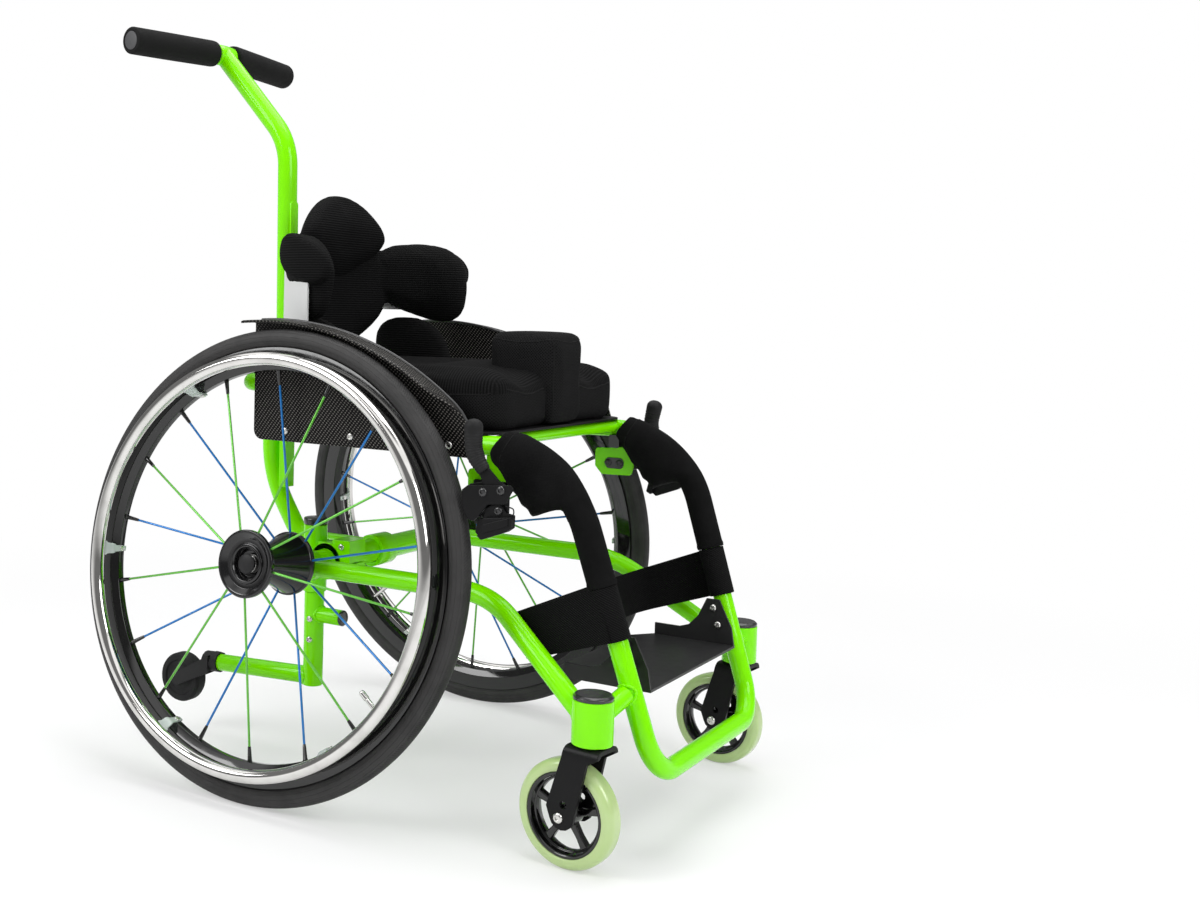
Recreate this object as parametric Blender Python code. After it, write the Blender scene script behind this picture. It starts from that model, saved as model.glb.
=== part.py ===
"""Child's active wheelchair with a rigid frame, cambered wheels and contoured seating.

Metres, X forward, Y to the left, Z up. While it is built, the chair stands with the middle of its rear
axle over the origin. At the end the whole chair slides along X, so that the origin lies on the floor
under the middle of the chair. side is -1 for the right of the chair and 1 for the left.
"""
import math

import bmesh
import bpy
from mathutils import Matrix, Vector

# Fits
GAP = 0.0003
BORE_PLAY = 0.0005

# Rear wheels: 22 inch, radial spokes, quick-release axles
TYRE_RADIUS = 0.275
TYRE_SECTION = 0.0125
CAMBER = math.radians(7.5)
WHEEL_HALF_TRACK = 0.2384
RIM_INNER = TYRE_RADIUS - 0.0485
RIM_HALF_WIDTH = 0.0105
SPOKES = 18
SPOKE_RADIUS = 0.0014
SPOKE_START_ANGLE = math.radians(12)
NIPPLE_LENGTH = 0.018
NIPPLE_RADIUS = 0.0025
VALVE_ANGLE = math.radians(321)
VALVE_LENGTH = 0.034
HUB_OUTER_FACE = 0.038
HUB_INNER_FACE = -0.0497
HUB_DISC_RADIUS = 0.039
HUB_WAIST_RADIUS = 0.0165
HUB_FLOOR = 0.0262
AXLE_PIN_RADIUS = 0.00635
AXLE_PIN_LENGTH = 0.133
BUTTON_TRAVEL = 0.003
HANDRIM_RADIUS = RIM_INNER + 0.0105
HANDRIM_OFFSET = 0.030
HANDRIM_TUBE = 0.008
HANDRIM_TABS = 6
HANDRIM_TAB_ANGLE = math.radians(2)
WHEEL_SEGMENTS = 32

# Frame tubes
FRAME_TUBE = 0.0112
AXLE_TUBE = 0.015
AXLE_TUBE_HALF = 0.168
AXLE_TUBE_SIDES = 16
PLUG_RADIUS = 0.0097
AXLE_DROP = 0.01375
AXLE_HEIGHT = round((TYRE_RADIUS - TYRE_SECTION) * math.cos(CAMBER) + TYRE_SECTION - AXLE_DROP, 4)
FRAME_HALF_WIDTH = 0.160
LOWER_BEND_X = 0.258
LOWER_BEND_RADIUS = 0.11
HEAD_X = 0.411
HEAD_Y = 0.2165
HEAD_BOTTOM = 0.135
HEAD_TOP = 0.181
HEAD_RADIUS = 0.0215
STRUT_RADIUS = 0.0095
RAIL_Y = 0.165
RAIL_HEIGHT = 0.4245
RAIL_REAR = -0.018
KNEE_X = 0.3462
KNEE_BEND = 0.12
LEG_SLOPE = 0.3189
LOOP_HEIGHT = 0.0895
LOOP_Y = 0.1488
LOOP_BEND = 0.046
SPIGOT_RADIUS = 0.0082
SPIGOT_LENGTH = 0.030
CROSS_TUBE = 0.0075
CROSS_TUBE_X = 0.256
CROSS_TUBE_BOW = 0.010
HOOP_TUBE = 0.0105
HOOP_X = -0.094
HOOP_HEIGHT = RAIL_HEIGHT + 0.0535
HOOP_BEND = 0.022

# Casters
CASTER_RADIUS = 0.0573
CASTER_HALF_WIDTH = 0.012
CASTER_TRAIL = 0.025
CASTER_TURN = math.radians(-6)
CASTER_RIM = 0.0445
CASTER_SPOKES = 5
CASTER_BOLT = 0.004
FORK_PLATE = 0.005
FORK_INSIDE = 0.0157
STEM_RADIUS = 0.006

# Back post and push bar
POST_TUBE = 0.0125
BACK_POST_X = -0.1785
BACK_POST_TOP = HOOP_HEIGHT
BACK_POST_BEND = Vector((BACK_POST_X, 0, AXLE_HEIGHT + 0.084))
BACK_POST_FOOT = Vector((-0.125, 0, AXLE_HEIGHT))
BACK_POST_BEND_RADIUS = 0.155
BACK_POST_FOOT_RADIUS = 0.045
AXLE_CLAMP_RADIUS = 0.0205
AXLE_CLAMP_WIDTH = 0.036
PUSH_POST_TOP = Vector((-0.277, 0, HOOP_HEIGHT + 0.441))
PUSH_POST_BEND = Vector((-0.1615, 0, HOOP_HEIGHT + 0.316))
PUSH_POST_FOOT = Vector((-0.1575, 0, HOOP_HEIGHT + 0.006))
PUSH_POST_BEND_RADIUS = 0.085
RAIL_BAR_WIDTH = 0.020
RAIL_BAR_DEPTH = 0.0113
RAIL_BAR_X = -0.1528
RAIL_BAR_BOTTOM = BACK_POST_BEND.z - 0.016
STRIP_WIDTH = 0.016
STRIP_TOP = HOOP_HEIGHT + 0.236
STRIP_FACE = 0.0129
POST_CLAMP_BOTTOM = HOOP_HEIGHT - 0.030
POST_CLAMP_TOP = HOOP_HEIGHT + 0.047
BAR_TUBE = 0.011
BAR_HALF = 0.161
BAR_SWEEP = 0.020
BAR_DROP = 0.004
GRIP_RADIUS = 0.0172
GRIP_LENGTH = 0.135

# Seat
PAN_THICKNESS = 0.003
PAN_REAR = -0.024
PAN_FRONT = 0.262
PAN_HALF_WIDTH = 0.172
CUSHION_REAR = -0.076
CUSHION_FRONT = 0.266
CUSHION_HALF_WIDTH = 0.164
CUSHION_TOP = RAIL_HEIGHT + 0.0845
POMMEL_REAR = 0.176
POMMEL_FRONT = 0.2695
POMMEL_HALF_WIDTH = 0.040
POMMEL_TOP = RAIL_HEIGHT + 0.1245
CUSHION_CLEARANCE = 0.0015
HIP_PAD_LENGTH = 0.123
HIP_PAD_X = -0.031
HIP_PAD_Y = 0.116
HIP_PAD_TOP = RAIL_HEIGHT + 0.1385
HIP_PAD_THICKNESS = 0.028
HIP_PAD_LEAN = 0.25

# Back support: an ellipse in plan
SHELL_CENTRE_X = 0.014
SHELL_DEPTH = 0.127
SHELL_HALF_WIDTH = 0.160
SHELL_THICKNESS = 0.0025
SHELL_BOTTOM = HOOP_HEIGHT + 0.027
SHELL_TOP = HOOP_HEIGHT + 0.162
SHELL_WING_BOTTOM = HOOP_HEIGHT + 0.082
SHELL_WING_TOP = HOOP_HEIGHT + 0.140
SHELL_WING_ANGLE = math.radians(84)
BACK_PAD_THICKNESS = 0.038
BACK_PAD_BOTTOM = HOOP_HEIGHT + 0.034
BACK_PAD_TOP = HOOP_HEIGHT + 0.244
BACK_PAD_CREASE = HOOP_HEIGHT + 0.128
BACK_PAD_LEAN = 0.018
BACK_PAD_ANGLE = math.radians(47)
LATERAL_BOTTOM = HOOP_HEIGHT + 0.0885
LATERAL_TOP = HOOP_HEIGHT + 0.186
LATERAL_START = math.radians(49)
LATERAL_END = {-1: math.radians(93), 1: math.radians(101)}
LATERAL_THICKNESS = 0.035
LATERAL_DROOP = 0.2
FLAP_BOTTOM = HOOP_HEIGHT + 0.128
FLAP_THICKNESS = 0.006

# Side guards
GUARD_Y = 0.1845
GUARD_THICKNESS = 0.003
GUARD_REAR = -0.062
GUARD_FRONT = 0.243
GUARD_ARC_RADIUS = 0.3926
GUARD_ARC_X = -0.0275
GUARD_CROWN = TYRE_RADIUS * 2 + 0.0062
GUARD_ARC_Z = GUARD_CROWN - GUARD_ARC_RADIUS
GUARD_BOTTOM = GUARD_CROWN - 0.1452
LIP_OUTER_Y = 0.209
LIP_THICKNESS = 0.0025

# Leg pads, strap and footplate
KNEE_GUARD_START = 0.2645
KNEE_GUARD_WALL = 0.0045
KNEE_GUARD_CREST = 0.0035
KNEE_GUARD_BULGE = 0.038
STRAP_HEIGHT = 0.058
STRAP_THICKNESS = 0.004
STRAP_REAR_X = 0.288
STRAP_REAR_NARROWING = 0.88
FOOT_TOP = 0.175
FOOT_PLATE = 0.003
FOOT_REAR = 0.312
FOOT_FRONT = 0.436
FOOT_HALF_WIDTH = 0.128
EAR_TOP = FOOT_TOP + 0.053
STRAP_LEG_HEIGHT = EAR_TOP + STRAP_HEIGHT / 2
STRAP_REAR_HEIGHT = STRAP_LEG_HEIGHT - 0.042
LEG_SPLIT = STRAP_LEG_HEIGHT - 0.012
KNEE_GUARD_END_HEIGHT = STRAP_LEG_HEIGHT + STRAP_HEIGHT / 2 + 0.010
CURB = 0.014
CURB_REAR = 0.334

# Brakes
TAB_THICKNESS = 0.004
TAB_FRONT = TYRE_RADIUS + 0.004
TAB_STEP = RAIL_HEIGHT - 0.0355
TAB_STEP_X = TYRE_RADIUS - 0.0165
TAB_REAR = TYRE_RADIUS - 0.051
TAB_BOTTOM = RAIL_HEIGHT - 0.0625
BRAKE_FOOT_REAR = TYRE_RADIUS - 0.037
BRAKE_FOOT_BOTTOM = RAIL_HEIGHT - 0.0605
BRAKE_FOOT_TOP = RAIL_HEIGHT - 0.0375
BRAKE_PLATE_Y = 0.224
BRAKE_PLATE = 0.004
ARM_REAR = TYRE_RADIUS - 0.010
ARM_BOTTOM = RAIL_HEIGHT - 0.0535
BRAKE_PIN_RADIUS = 0.0035
LEVER_BLADE = 0.004
LEVER_PIVOT = Vector((TYRE_RADIUS + 0.023, 0, RAIL_HEIGHT - 0.0365))
LEVER_TOP = Vector((TYRE_RADIUS - 0.0045, 0, RAIL_HEIGHT + 0.0305))
LEVER_KNEE = Vector((TYRE_RADIUS - 0.0038, 0, RAIL_HEIGHT - 0.003))
SHOE_PIVOT = Vector((TYRE_RADIUS + 0.030, 0, RAIL_HEIGHT - 0.0605))
SHOE_Y = 0.2295
SHOE_CLEARANCE = 0.0065
SHOE_ABOVE_PIVOT = 0.84
SHOE_BELOW_PIVOT = 5.16
SHOE_BODY = [(-0.024, -0.0095), (0.0185, -0.0025), (0.0205, -0.0155), (0.012, -0.0215),
             (-0.0135, -0.0297), (-0.024, -0.0297)]

# Anti-tipper, right side only
TIPPER_X = -0.028
TIPPER_Y = -0.100
TIPPER_TUBE = 0.0125
TIPPER_SPIGOT = 0.0097
TIPPER_SOCKET = 0.0130
TIPPER_SOCKET_BOTTOM = AXLE_HEIGHT - 0.0425
TIPPER_SOCKET_TOP = AXLE_HEIGHT + 0.041
TIPPER_CLAMP_WIDTH = 0.034
TIPPER_STUB_HEIGHT = AXLE_HEIGHT - 0.072
TIPPER_STUB_LENGTH = 0.046
TIPPER_STUB_RADIUS = 0.0098
TIPPER_ARM = 0.011
TIPPER_ARM_HEIGHT = 0.108
TIPPER_ARM_END = Vector((-0.192, TIPPER_Y, 0.100))
TIPPER_WHEEL_X = -0.243
TIPPER_WHEEL_HEIGHT = 0.0715
TIPPER_WHEEL_RADIUS = 0.0325
TIPPER_WHEEL_HALF_WIDTH = 0.010

# Colour, roughness and metallic value of each finish
FINISHES = {
    "lime_paint": ((0.22, 0.80, 0.0), 0.25, 0.0),
    "black_rubber": ((0.035, 0.035, 0.035), 0.75, 0.0),
    "black_gloss": ((0.01, 0.01, 0.01), 0.15, 0.2),
    "black_satin": ((0.02, 0.02, 0.02), 0.45, 0.2),
    "black_fabric": ((0.012, 0.012, 0.012), 0.95, 0.0),
    "black_foam": ((0.02, 0.02, 0.02), 0.9, 0.0),
    "carbon": ((0.02, 0.02, 0.02), 0.3, 0.3),
    "polished_steel": ((0.75, 0.75, 0.75), 0.12, 1.0),
    "silver_shell": ((0.6, 0.6, 0.6), 0.4, 0.8),
    "pale_tyre": ((0.45, 0.58, 0.25), 0.4, 0.0),
    "black_plastic": ((0.02, 0.02, 0.02), 0.4, 0.0),
}

SIDES = {"right": -1, "left": 1}


def new_object(name, data):
    """An object of the scene that holds the given mesh, or an empty."""
    made = bpy.data.objects.new(name, data)
    bpy.context.scene.collection.objects.link(made)
    return made


def shape(bm):
    """Turns a closed bmesh into an object whose faces point outwards."""
    bmesh.ops.recalc_face_normals(bm, faces=bm.faces)
    mesh = bpy.data.meshes.new("shape")
    bm.to_mesh(mesh)
    bm.free()
    return new_object("shape", mesh)


def skin(rings, loop=False):
    """Closed surface through rings of points. loop joins the last ring to the first, else both are capped."""
    bm = bmesh.new()
    rows = [[bm.verts.new(point) for point in ring] for ring in rings]
    following = rows[1:] + rows[:1] if loop else rows[1:]
    for row, after in zip(rows, following):
        for i in range(len(row)):
            j = (i + 1) % len(row)
            bm.faces.new((row[i], row[j], after[j], after[i]))
    if not loop:
        bm.faces.new(rows[0])
        bm.faces.new(rows[-1])
    return shape(bm)


def turned(profile, sides, loop=False):
    """Turns a profile of (radius, height) points about Z, with the circle touching each side's middle.

    A loop profile leaves a bore.
    """
    angles = [math.tau * (i + 0.5) / sides for i in range(sides)]
    grown = 1 / math.cos(math.pi / sides)
    rings = [[Vector((r * grown * math.cos(a), r * grown * math.sin(a), h)) for a in angles] for r,
             h in profile]
    return skin(rings, loop)


def bent_path(corners, radii, steps=5):
    """Polyline through the corners. Each inner corner is rounded, all by one radius or by a list of them."""
    inner = radii if isinstance(radii, list) else [radii] * (len(corners) - 2)
    points = [Vector(corners[0])]
    for before, corner, after, radius in zip(corners, corners[1:], corners[2:], inner):
        back = (Vector(before) - Vector(corner)).normalized()
        ahead = (Vector(after) - Vector(corner)).normalized()
        half = back.angle(ahead) / 2
        reach = radius / math.tan(half)
        centre = Vector(corner) + (back + ahead).normalized() * radius / math.sin(half)
        first = Vector(corner) + back * reach - centre
        last = Vector(corner) + ahead * reach - centre
        turn = first.angle(last)
        for i in range(steps + 1):
            share = i / steps
            arm = first * math.sin(turn * (1 - share)) + last * math.sin(turn * share)
            points.append(centre + arm / math.sin(turn))
    points.append(Vector(corners[-1]))
    return points


def carried_frames(path, across=None):
    """At each point of a path: two cross directions, carried along it without twist."""
    tangents = []
    for i in range(len(path)):
        tangents.append((path[min(i + 1, len(path) - 1)] - path[max(i - 1, 0)]).normalized())
    first = Vector(across) if across else tangents[0].orthogonal()
    frames = []
    for tangent in tangents:
        first = (first - tangent * first.dot(tangent)).normalized()
        frames.append((first, tangent.cross(first)))
    return frames


def tube_rings(path, radius, sides, across=None):
    """Rings of points round a path. radius is one number, or one for each point."""
    radii = radius if isinstance(radius, list) else [radius] * len(path)
    rings = []
    for point, r, (u, v) in zip(path, radii, carried_frames(path, across)):
        angles = [math.tau * (i + 0.5) / sides for i in range(sides)]
        rings.append([point + (u * math.cos(a) + v * math.sin(a)) * r for a in angles])
    return rings


def tube(path, radius, sides=12, across=None):
    """A solid round bar along a path."""
    return skin(tube_rings([Vector(p) for p in path], radius, sides, across))


def rod(start, end, radius, sides=12):
    """A straight round bar."""
    return tube([start, end], radius, sides)


def prism(outline, low, high, plane="xz"):
    """Extrudes an outline. In plane xz the points are (x, z) and low and high are places along Y."""
    place = {
        "xz": lambda p, w: Vector((p[0], w, p[1])),
        "xy": lambda p, w: Vector((p[0], p[1], w)),
        "yz": lambda p, w: Vector((w, p[0], p[1])),
    }[plane]
    return skin([[place(p, low) for p in outline], [place(p, high) for p in outline]])


def box(low, high):
    """A box between two corners."""
    corners = [(low[0], low[1]), (high[0], low[1]), (high[0], high[1]), (low[0], high[1])]
    return prism(corners, low[2], high[2], "xy")


def arc(centre, radius, start, end, steps):
    """Points of an arc in a plane. Angles are in degrees."""
    angles = [math.radians(start + (end - start) * i / steps) for i in range(steps + 1)]
    return [(centre[0] + radius * math.cos(a), centre[1] + radius * math.sin(a)) for a in angles]


def superellipse(half_a, half_b, power, turns):
    """Points of a rounded rectangle: a superellipse of the given power."""
    points = []
    for i in range(turns):
        a = math.tau * (i + 0.5) / turns
        cos, sin = math.cos(a), math.sin(a)
        points.append((
            half_a * math.copysign(abs(cos) ** (2 / power), cos),
            half_b * math.copysign(abs(sin) ** (2 / power), sin),
        ))
    return points


def padded(half, power=4.0, fullness=2.6, turns=24, warp=None):
    """A cushion form about the origin: rounded rectangle in plan, crowned above and below.

    The height at a share s of the way out to the rim is (1 - s**fullness) ** (1 / fullness). The sides
    draw in a little between the corners. warp moves each point.
    """
    shares = (0.35, 0.72, 0.93)
    levels = [(s, -((1 - s ** fullness) ** (1 / fullness))) for s in shares]
    levels.append((1.0, 0.0))
    levels += [(s, -h) for s, h in reversed(levels[:-1])]
    rings = []
    for share, level in levels:
        ring = []
        for a, b in superellipse(1.0, 1.0, power, turns):
            drawn = 1 - 0.03 * (1 - (a * b) ** 2) * share
            point = Vector((a * drawn * share * half[0], b * drawn * share * half[1], level * half[2]))
            ring.append(warp(point) if warp else point)
        rings.append(ring)
    return skin(rings)


def combine(operation, first, *others):
    """One solid from a first shape and others: their union, or the first with the others cut out."""
    for other in others:
        modifier = first.modifiers.new("combine", "BOOLEAN")
        modifier.operation = operation
        modifier.solver = "EXACT"
        modifier.object = other
    bpy.context.view_layer.update()
    depsgraph = bpy.context.evaluated_depsgraph_get()
    mesh = bpy.data.meshes.new_from_object(first.evaluated_get(depsgraph))
    result = new_object("shape", mesh)
    for used in (first, *others):
        bpy.data.objects.remove(used)
    return result


def fuse(first, *others):
    """Union of shapes."""
    return combine("UNION", first, *others)


def cut(first, *others):
    """First shape with the others cut out of it."""
    return combine("DIFFERENCE", first, *others)


def moved(made, matrix):
    """Moves a shape's points by a matrix."""
    made.data.transform(matrix)
    return made


def material(name, finish):
    """A material of one part, from its finish."""
    colour, roughness, metallic = FINISHES[finish]
    made = bpy.data.materials.new(name)
    made.use_nodes = True
    shader = made.node_tree.nodes["Principled BSDF"]
    shader.inputs["Base Color"].default_value = (*colour, 1.0)
    shader.inputs["Roughness"].default_value = roughness
    shader.inputs["Metallic"].default_value = metallic
    made.diffuse_color = (*colour, 1.0)
    return made


def part(name, made, finish, parent):
    """Names a finished solid, gives it its material and hangs it on its parent."""
    made.name = name
    made.data.name = name
    made.data.materials.clear()
    made.data.materials.append(material(name + "_" + finish, finish))
    made.data.shade_smooth()
    made.data.set_sharp_from_angle(angle=math.radians(35))
    made.parent = parent
    return made


def pivot(name, matrix, parent):
    """An empty on a joint's axis."""
    made = new_object(name, None)
    made.empty_display_size = 0.03
    made.parent = parent
    made.matrix_local = matrix
    return made


def axes(x_axis, y_axis, z_axis, origin):
    """Matrix of a frame from its three directions and its origin."""
    rotation = Matrix((x_axis, y_axis, z_axis)).transposed().to_4x4()
    return Matrix.Translation(origin) @ rotation


def hub_height():
    """Height of a cambered wheel's centre when its tyre touches the floor."""
    return (TYRE_RADIUS - TYRE_SECTION) * math.cos(CAMBER) + TYRE_SECTION


def wheel_frame(side):
    """Frame of a rear wheel: Z outwards along its axle, Y up the wheel."""
    up = Vector((0, -side * math.sin(CAMBER), math.cos(CAMBER)))
    out = Vector((0, side * math.cos(CAMBER), math.sin(CAMBER)))
    return axes(up.cross(out), up, out, Vector((0, side * WHEEL_HALF_TRACK, hub_height())))


def leg_point(height, side):
    """Point of the sloping front leg's centre line at a height."""
    share = (RAIL_HEIGHT - height) / (RAIL_HEIGHT - LOOP_HEIGHT)
    x = KNEE_X + LEG_SLOPE * (RAIL_HEIGHT - height)
    return Vector((x, side * (RAIL_Y + (LOOP_Y - RAIL_Y) * share), height))


def rail_path(side):
    """Centre line of a seat rail: back to front, then down the leg."""
    rear = Vector((RAIL_REAR, side * RAIL_Y, RAIL_HEIGHT))
    knee = Vector((KNEE_X, side * RAIL_Y, RAIL_HEIGHT))
    return bent_path([rear, knee, leg_point(LEG_SPLIT, side)], KNEE_BEND, 8)


def polar(radius, angle, height):
    """Point in a wheel's frame."""
    return Vector((radius * math.cos(angle), radius * math.sin(angle), height))


def spoke_line(index):
    """Ends of a spoke: in its hub flange, and in the rim's inner edge. Even ones start at the outer disc."""
    angle = SPOKE_START_ANGLE + math.tau * index / SPOKES
    if index % 2:
        flange = polar(HUB_DISC_RADIUS - 0.005, angle, HUB_OUTER_FACE - 0.005)
    else:
        flange = polar(HUB_DISC_RADIUS - 0.005, angle, HUB_INNER_FACE + 0.0035)
    return flange, polar(RIM_INNER + 0.002, angle, 0)


def build_wheel(name, side, chair):
    """Tyre, rim, hub with spokes and handrim on a turning axis, and the axle with its button."""
    frame = wheel_frame(side)
    turning = pivot(name + "_wheel_axis", frame, chair)
    middle = TYRE_RADIUS - TYRE_SECTION
    section = arc((middle, 0), TYRE_SECTION, 0, 315, 7)
    part(name + "_tyre", turned(section, WHEEL_SEGMENTS, loop=True), "black_rubber", turning)
    part(name + "_rim", build_rim(), "black_gloss", turning)
    part(name + "_hub", build_hub(), "black_gloss", turning)
    part(name + "_handrim", build_handrim(), "polished_steel", turning)
    fixed = pivot(name + "_axle_axis", frame, chair)
    part(name + "_axle", build_axle(), "polished_steel", fixed)
    part(name + "_axle_button", build_button(), "black_plastic", fixed)


def build_rim():
    """Deep rim with a bed for the tyre, spoke nipples and the valve stem."""
    bed = TYRE_RADIUS - 2 * TYRE_SECTION - GAP
    half = [
        (RIM_INNER, 0.0045),
        (RIM_INNER + 0.008, RIM_HALF_WIDTH),
        (bed + 0.0028, RIM_HALF_WIDTH),
        (bed, 0.006),
    ]
    profile = half + [(r, -h) for r, h in reversed(half)]
    rim = turned(profile, WHEEL_SEGMENTS, loop=True)
    fittings = []
    for index in range(SPOKES):
        flange, end = spoke_line(index)
        inward = (flange - end).normalized()
        fittings.append(rod(end + inward * (NIPPLE_LENGTH + 0.002), end, NIPPLE_RADIUS, 4))
    valve_foot = polar(RIM_INNER + 0.002, VALVE_ANGLE, 0)
    valve_tip = polar(RIM_INNER - VALVE_LENGTH, VALVE_ANGLE, 0)
    fittings.append(rod(valve_tip, valve_foot, 0.003, 8))
    return fuse(rim, *fittings)


def build_hub():
    """Dished outer disc, waist, and a cone that widens to the inner flange, with the spokes."""
    bore = AXLE_PIN_RADIUS + BORE_PLAY
    profile = [
        (bore, HUB_INNER_FACE),
        (HUB_DISC_RADIUS - 0.0015, HUB_INNER_FACE),
        (HUB_DISC_RADIUS - 0.0015, HUB_INNER_FACE + 0.0035),
        (HUB_WAIST_RADIUS, HUB_INNER_FACE + 0.056),
        (HUB_WAIST_RADIUS, HUB_OUTER_FACE - 0.016),
        (HUB_DISC_RADIUS, HUB_OUTER_FACE - 0.007),
        (HUB_DISC_RADIUS, HUB_OUTER_FACE),
        (HUB_DISC_RADIUS - 0.006, HUB_OUTER_FACE),
        (HUB_DISC_RADIUS - 0.010, HUB_OUTER_FACE - 0.005),
        (0.0205, HUB_OUTER_FACE - 0.004),
        (0.0150, HUB_FLOOR),
        (bore, HUB_FLOOR),
    ]
    hub = turned(profile, 18, loop=True)
    spokes = []
    for index in range(SPOKES):
        flange, end = spoke_line(index)
        inward = (flange - end).normalized()
        spokes.append(rod(flange, end + inward * (NIPPLE_LENGTH + 0.002 + GAP), SPOKE_RADIUS, 4))
    return fuse(hub, *spokes)


def build_handrim():
    """Round hand ring with its screwed tabs, which reach under the rim's inner edge."""
    section = arc((HANDRIM_RADIUS, HANDRIM_OFFSET), HANDRIM_TUBE, 0, 300, 5)
    ring = turned(section, WHEEL_SEGMENTS, loop=True)
    under = RIM_INNER - GAP * 2
    lug = [
        (under - 0.0025, -0.0045),
        (under, -0.0045),
        (under, HANDRIM_OFFSET - HANDRIM_TUBE),
        (HANDRIM_RADIUS - 0.005, HANDRIM_OFFSET - 0.004),
        (HANDRIM_RADIUS - 0.005, HANDRIM_OFFSET + 0.004),
        (under - 0.0025, HANDRIM_OFFSET + 0.002),
    ]
    tabs = []
    for index in range(HANDRIM_TABS):
        angle = HANDRIM_TAB_ANGLE + math.tau * index / HANDRIM_TABS
        tabs.append(moved(prism(lug, -0.007, 0.007), Matrix.Rotation(angle, 4, "Z")))
    return fuse(ring, *tabs)


def build_axle():
    """Quick-release pin: shaft, head and the bore that guides the button's stem."""
    head = HUB_FLOOR + GAP
    tail = HUB_FLOOR - AXLE_PIN_LENGTH
    profile = [
        (AXLE_PIN_RADIUS - 0.001, tail),
        (AXLE_PIN_RADIUS, tail + 0.002),
        (AXLE_PIN_RADIUS, head),
        (0.0105, head),
        (0.0105, head + 0.003),
        (0.0035, head + 0.003),
        (0.0035, head - 0.0145),
    ]
    return turned(profile, 14)


def build_button():
    """Domed push button on its stem."""
    back = HUB_FLOOR + GAP + 0.003 + GAP + BUTTON_TRAVEL
    profile = [
        (0.003, back - 0.0145),
        (0.003, back),
        (0.0115, back),
        (0.0112, back + 0.0015),
        (0.0060, back + 0.0040),
    ]
    return turned(profile, 14)


def build_axle_tube(chair):
    """Camber tube between the wheels, with a cambered plug and bore at each end."""
    middle = rod((0, -AXLE_TUBE_HALF, AXLE_HEIGHT), (0, AXLE_TUBE_HALF, AXLE_HEIGHT), AXLE_TUBE,
                 AXLE_TUBE_SIDES)
    plugs = []
    bores = []
    for side in SIDES.values():
        outer = HUB_INNER_FACE - GAP
        plug = turned([(PLUG_RADIUS, outer - 0.065), (PLUG_RADIUS, outer - 0.012),
                       (0.0135, outer - 0.011), (0.0135, outer)], 16)
        bore = turned([(AXLE_PIN_RADIUS + BORE_PLAY, outer - 0.062),
                       (AXLE_PIN_RADIUS + BORE_PLAY, outer + 0.01)], 12)
        plugs.append(moved(plug, wheel_frame(side)))
        bores.append(moved(bore, wheel_frame(side)))
    part("axle_tube", cut(fuse(middle, *plugs), *bores), "lime_paint", chair)


def build_frame_side(name, side, chair):
    """Axle clamp, lower tube, head tube and the short strut to the front leg, welded in one."""
    axle_point = Vector((0, side * FRAME_HALF_WIDTH, AXLE_HEIGHT))
    clamp_half = Vector((0, 0.012, 0))
    clamp = rod(axle_point - clamp_half, axle_point + clamp_half, AXLE_TUBE + 0.0045, 16)
    head_axis = Vector((HEAD_X, side * HEAD_Y, 0))
    head = rod(head_axis + Vector((0, 0, HEAD_BOTTOM)), head_axis + Vector((0, 0, HEAD_TOP)),
               HEAD_RADIUS, 18)
    corner = Vector((LOWER_BEND_X, side * FRAME_HALF_WIDTH, AXLE_HEIGHT))
    meeting = head_axis + Vector((0, 0, (HEAD_BOTTOM + HEAD_TOP) / 2))
    lower = tube(bent_path([axle_point + Vector((0.010, 0, 0)), corner, meeting], LOWER_BEND_RADIUS, 4),
                 FRAME_TUBE, 12)
    leg = leg_point(meeting.z + 0.009, side)
    strut = rod(meeting + Vector((0, 0, 0.006)), leg, STRUT_RADIUS, 10)
    solid = fuse(head, clamp, lower, strut)
    axle_bore = rod(axle_point - clamp_half * 2, axle_point + clamp_half * 2, AXLE_TUBE + GAP,
                    AXLE_TUBE_SIDES)
    stem_bore = rod(head_axis + Vector((0, 0, HEAD_BOTTOM - 0.01)),
                    head_axis + Vector((0, 0, HEAD_TOP - 0.004)), STEM_RADIUS + BORE_PLAY, 12)
    leg_space = tube([leg_point(LEG_SPLIT, side), leg_point(LOOP_HEIGHT, side)], FRAME_TUBE + GAP, 12,
                     (0, 1, 0))
    cap_space = rod(head_axis + Vector((0, 0, HEAD_TOP)), head_axis + Vector((0, 0, HEAD_TOP + 0.012)),
                    HEAD_RADIUS, 18)
    part(name + "_frame_side", cut(solid, axle_bore, stem_bore, leg_space, cap_space), "lime_paint",
         chair)
    cap = turned([(HEAD_RADIUS - 0.001, 0), (HEAD_RADIUS - 0.001, 0.0025),
                  (HEAD_RADIUS - 0.006, 0.0052), (0.005, 0.0062)], 18)
    place = Matrix.Translation(head_axis + Vector((0, 0, HEAD_TOP + GAP)))
    part(name + "_caster_cap", moved(cap, place), "black_plastic", chair)


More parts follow.
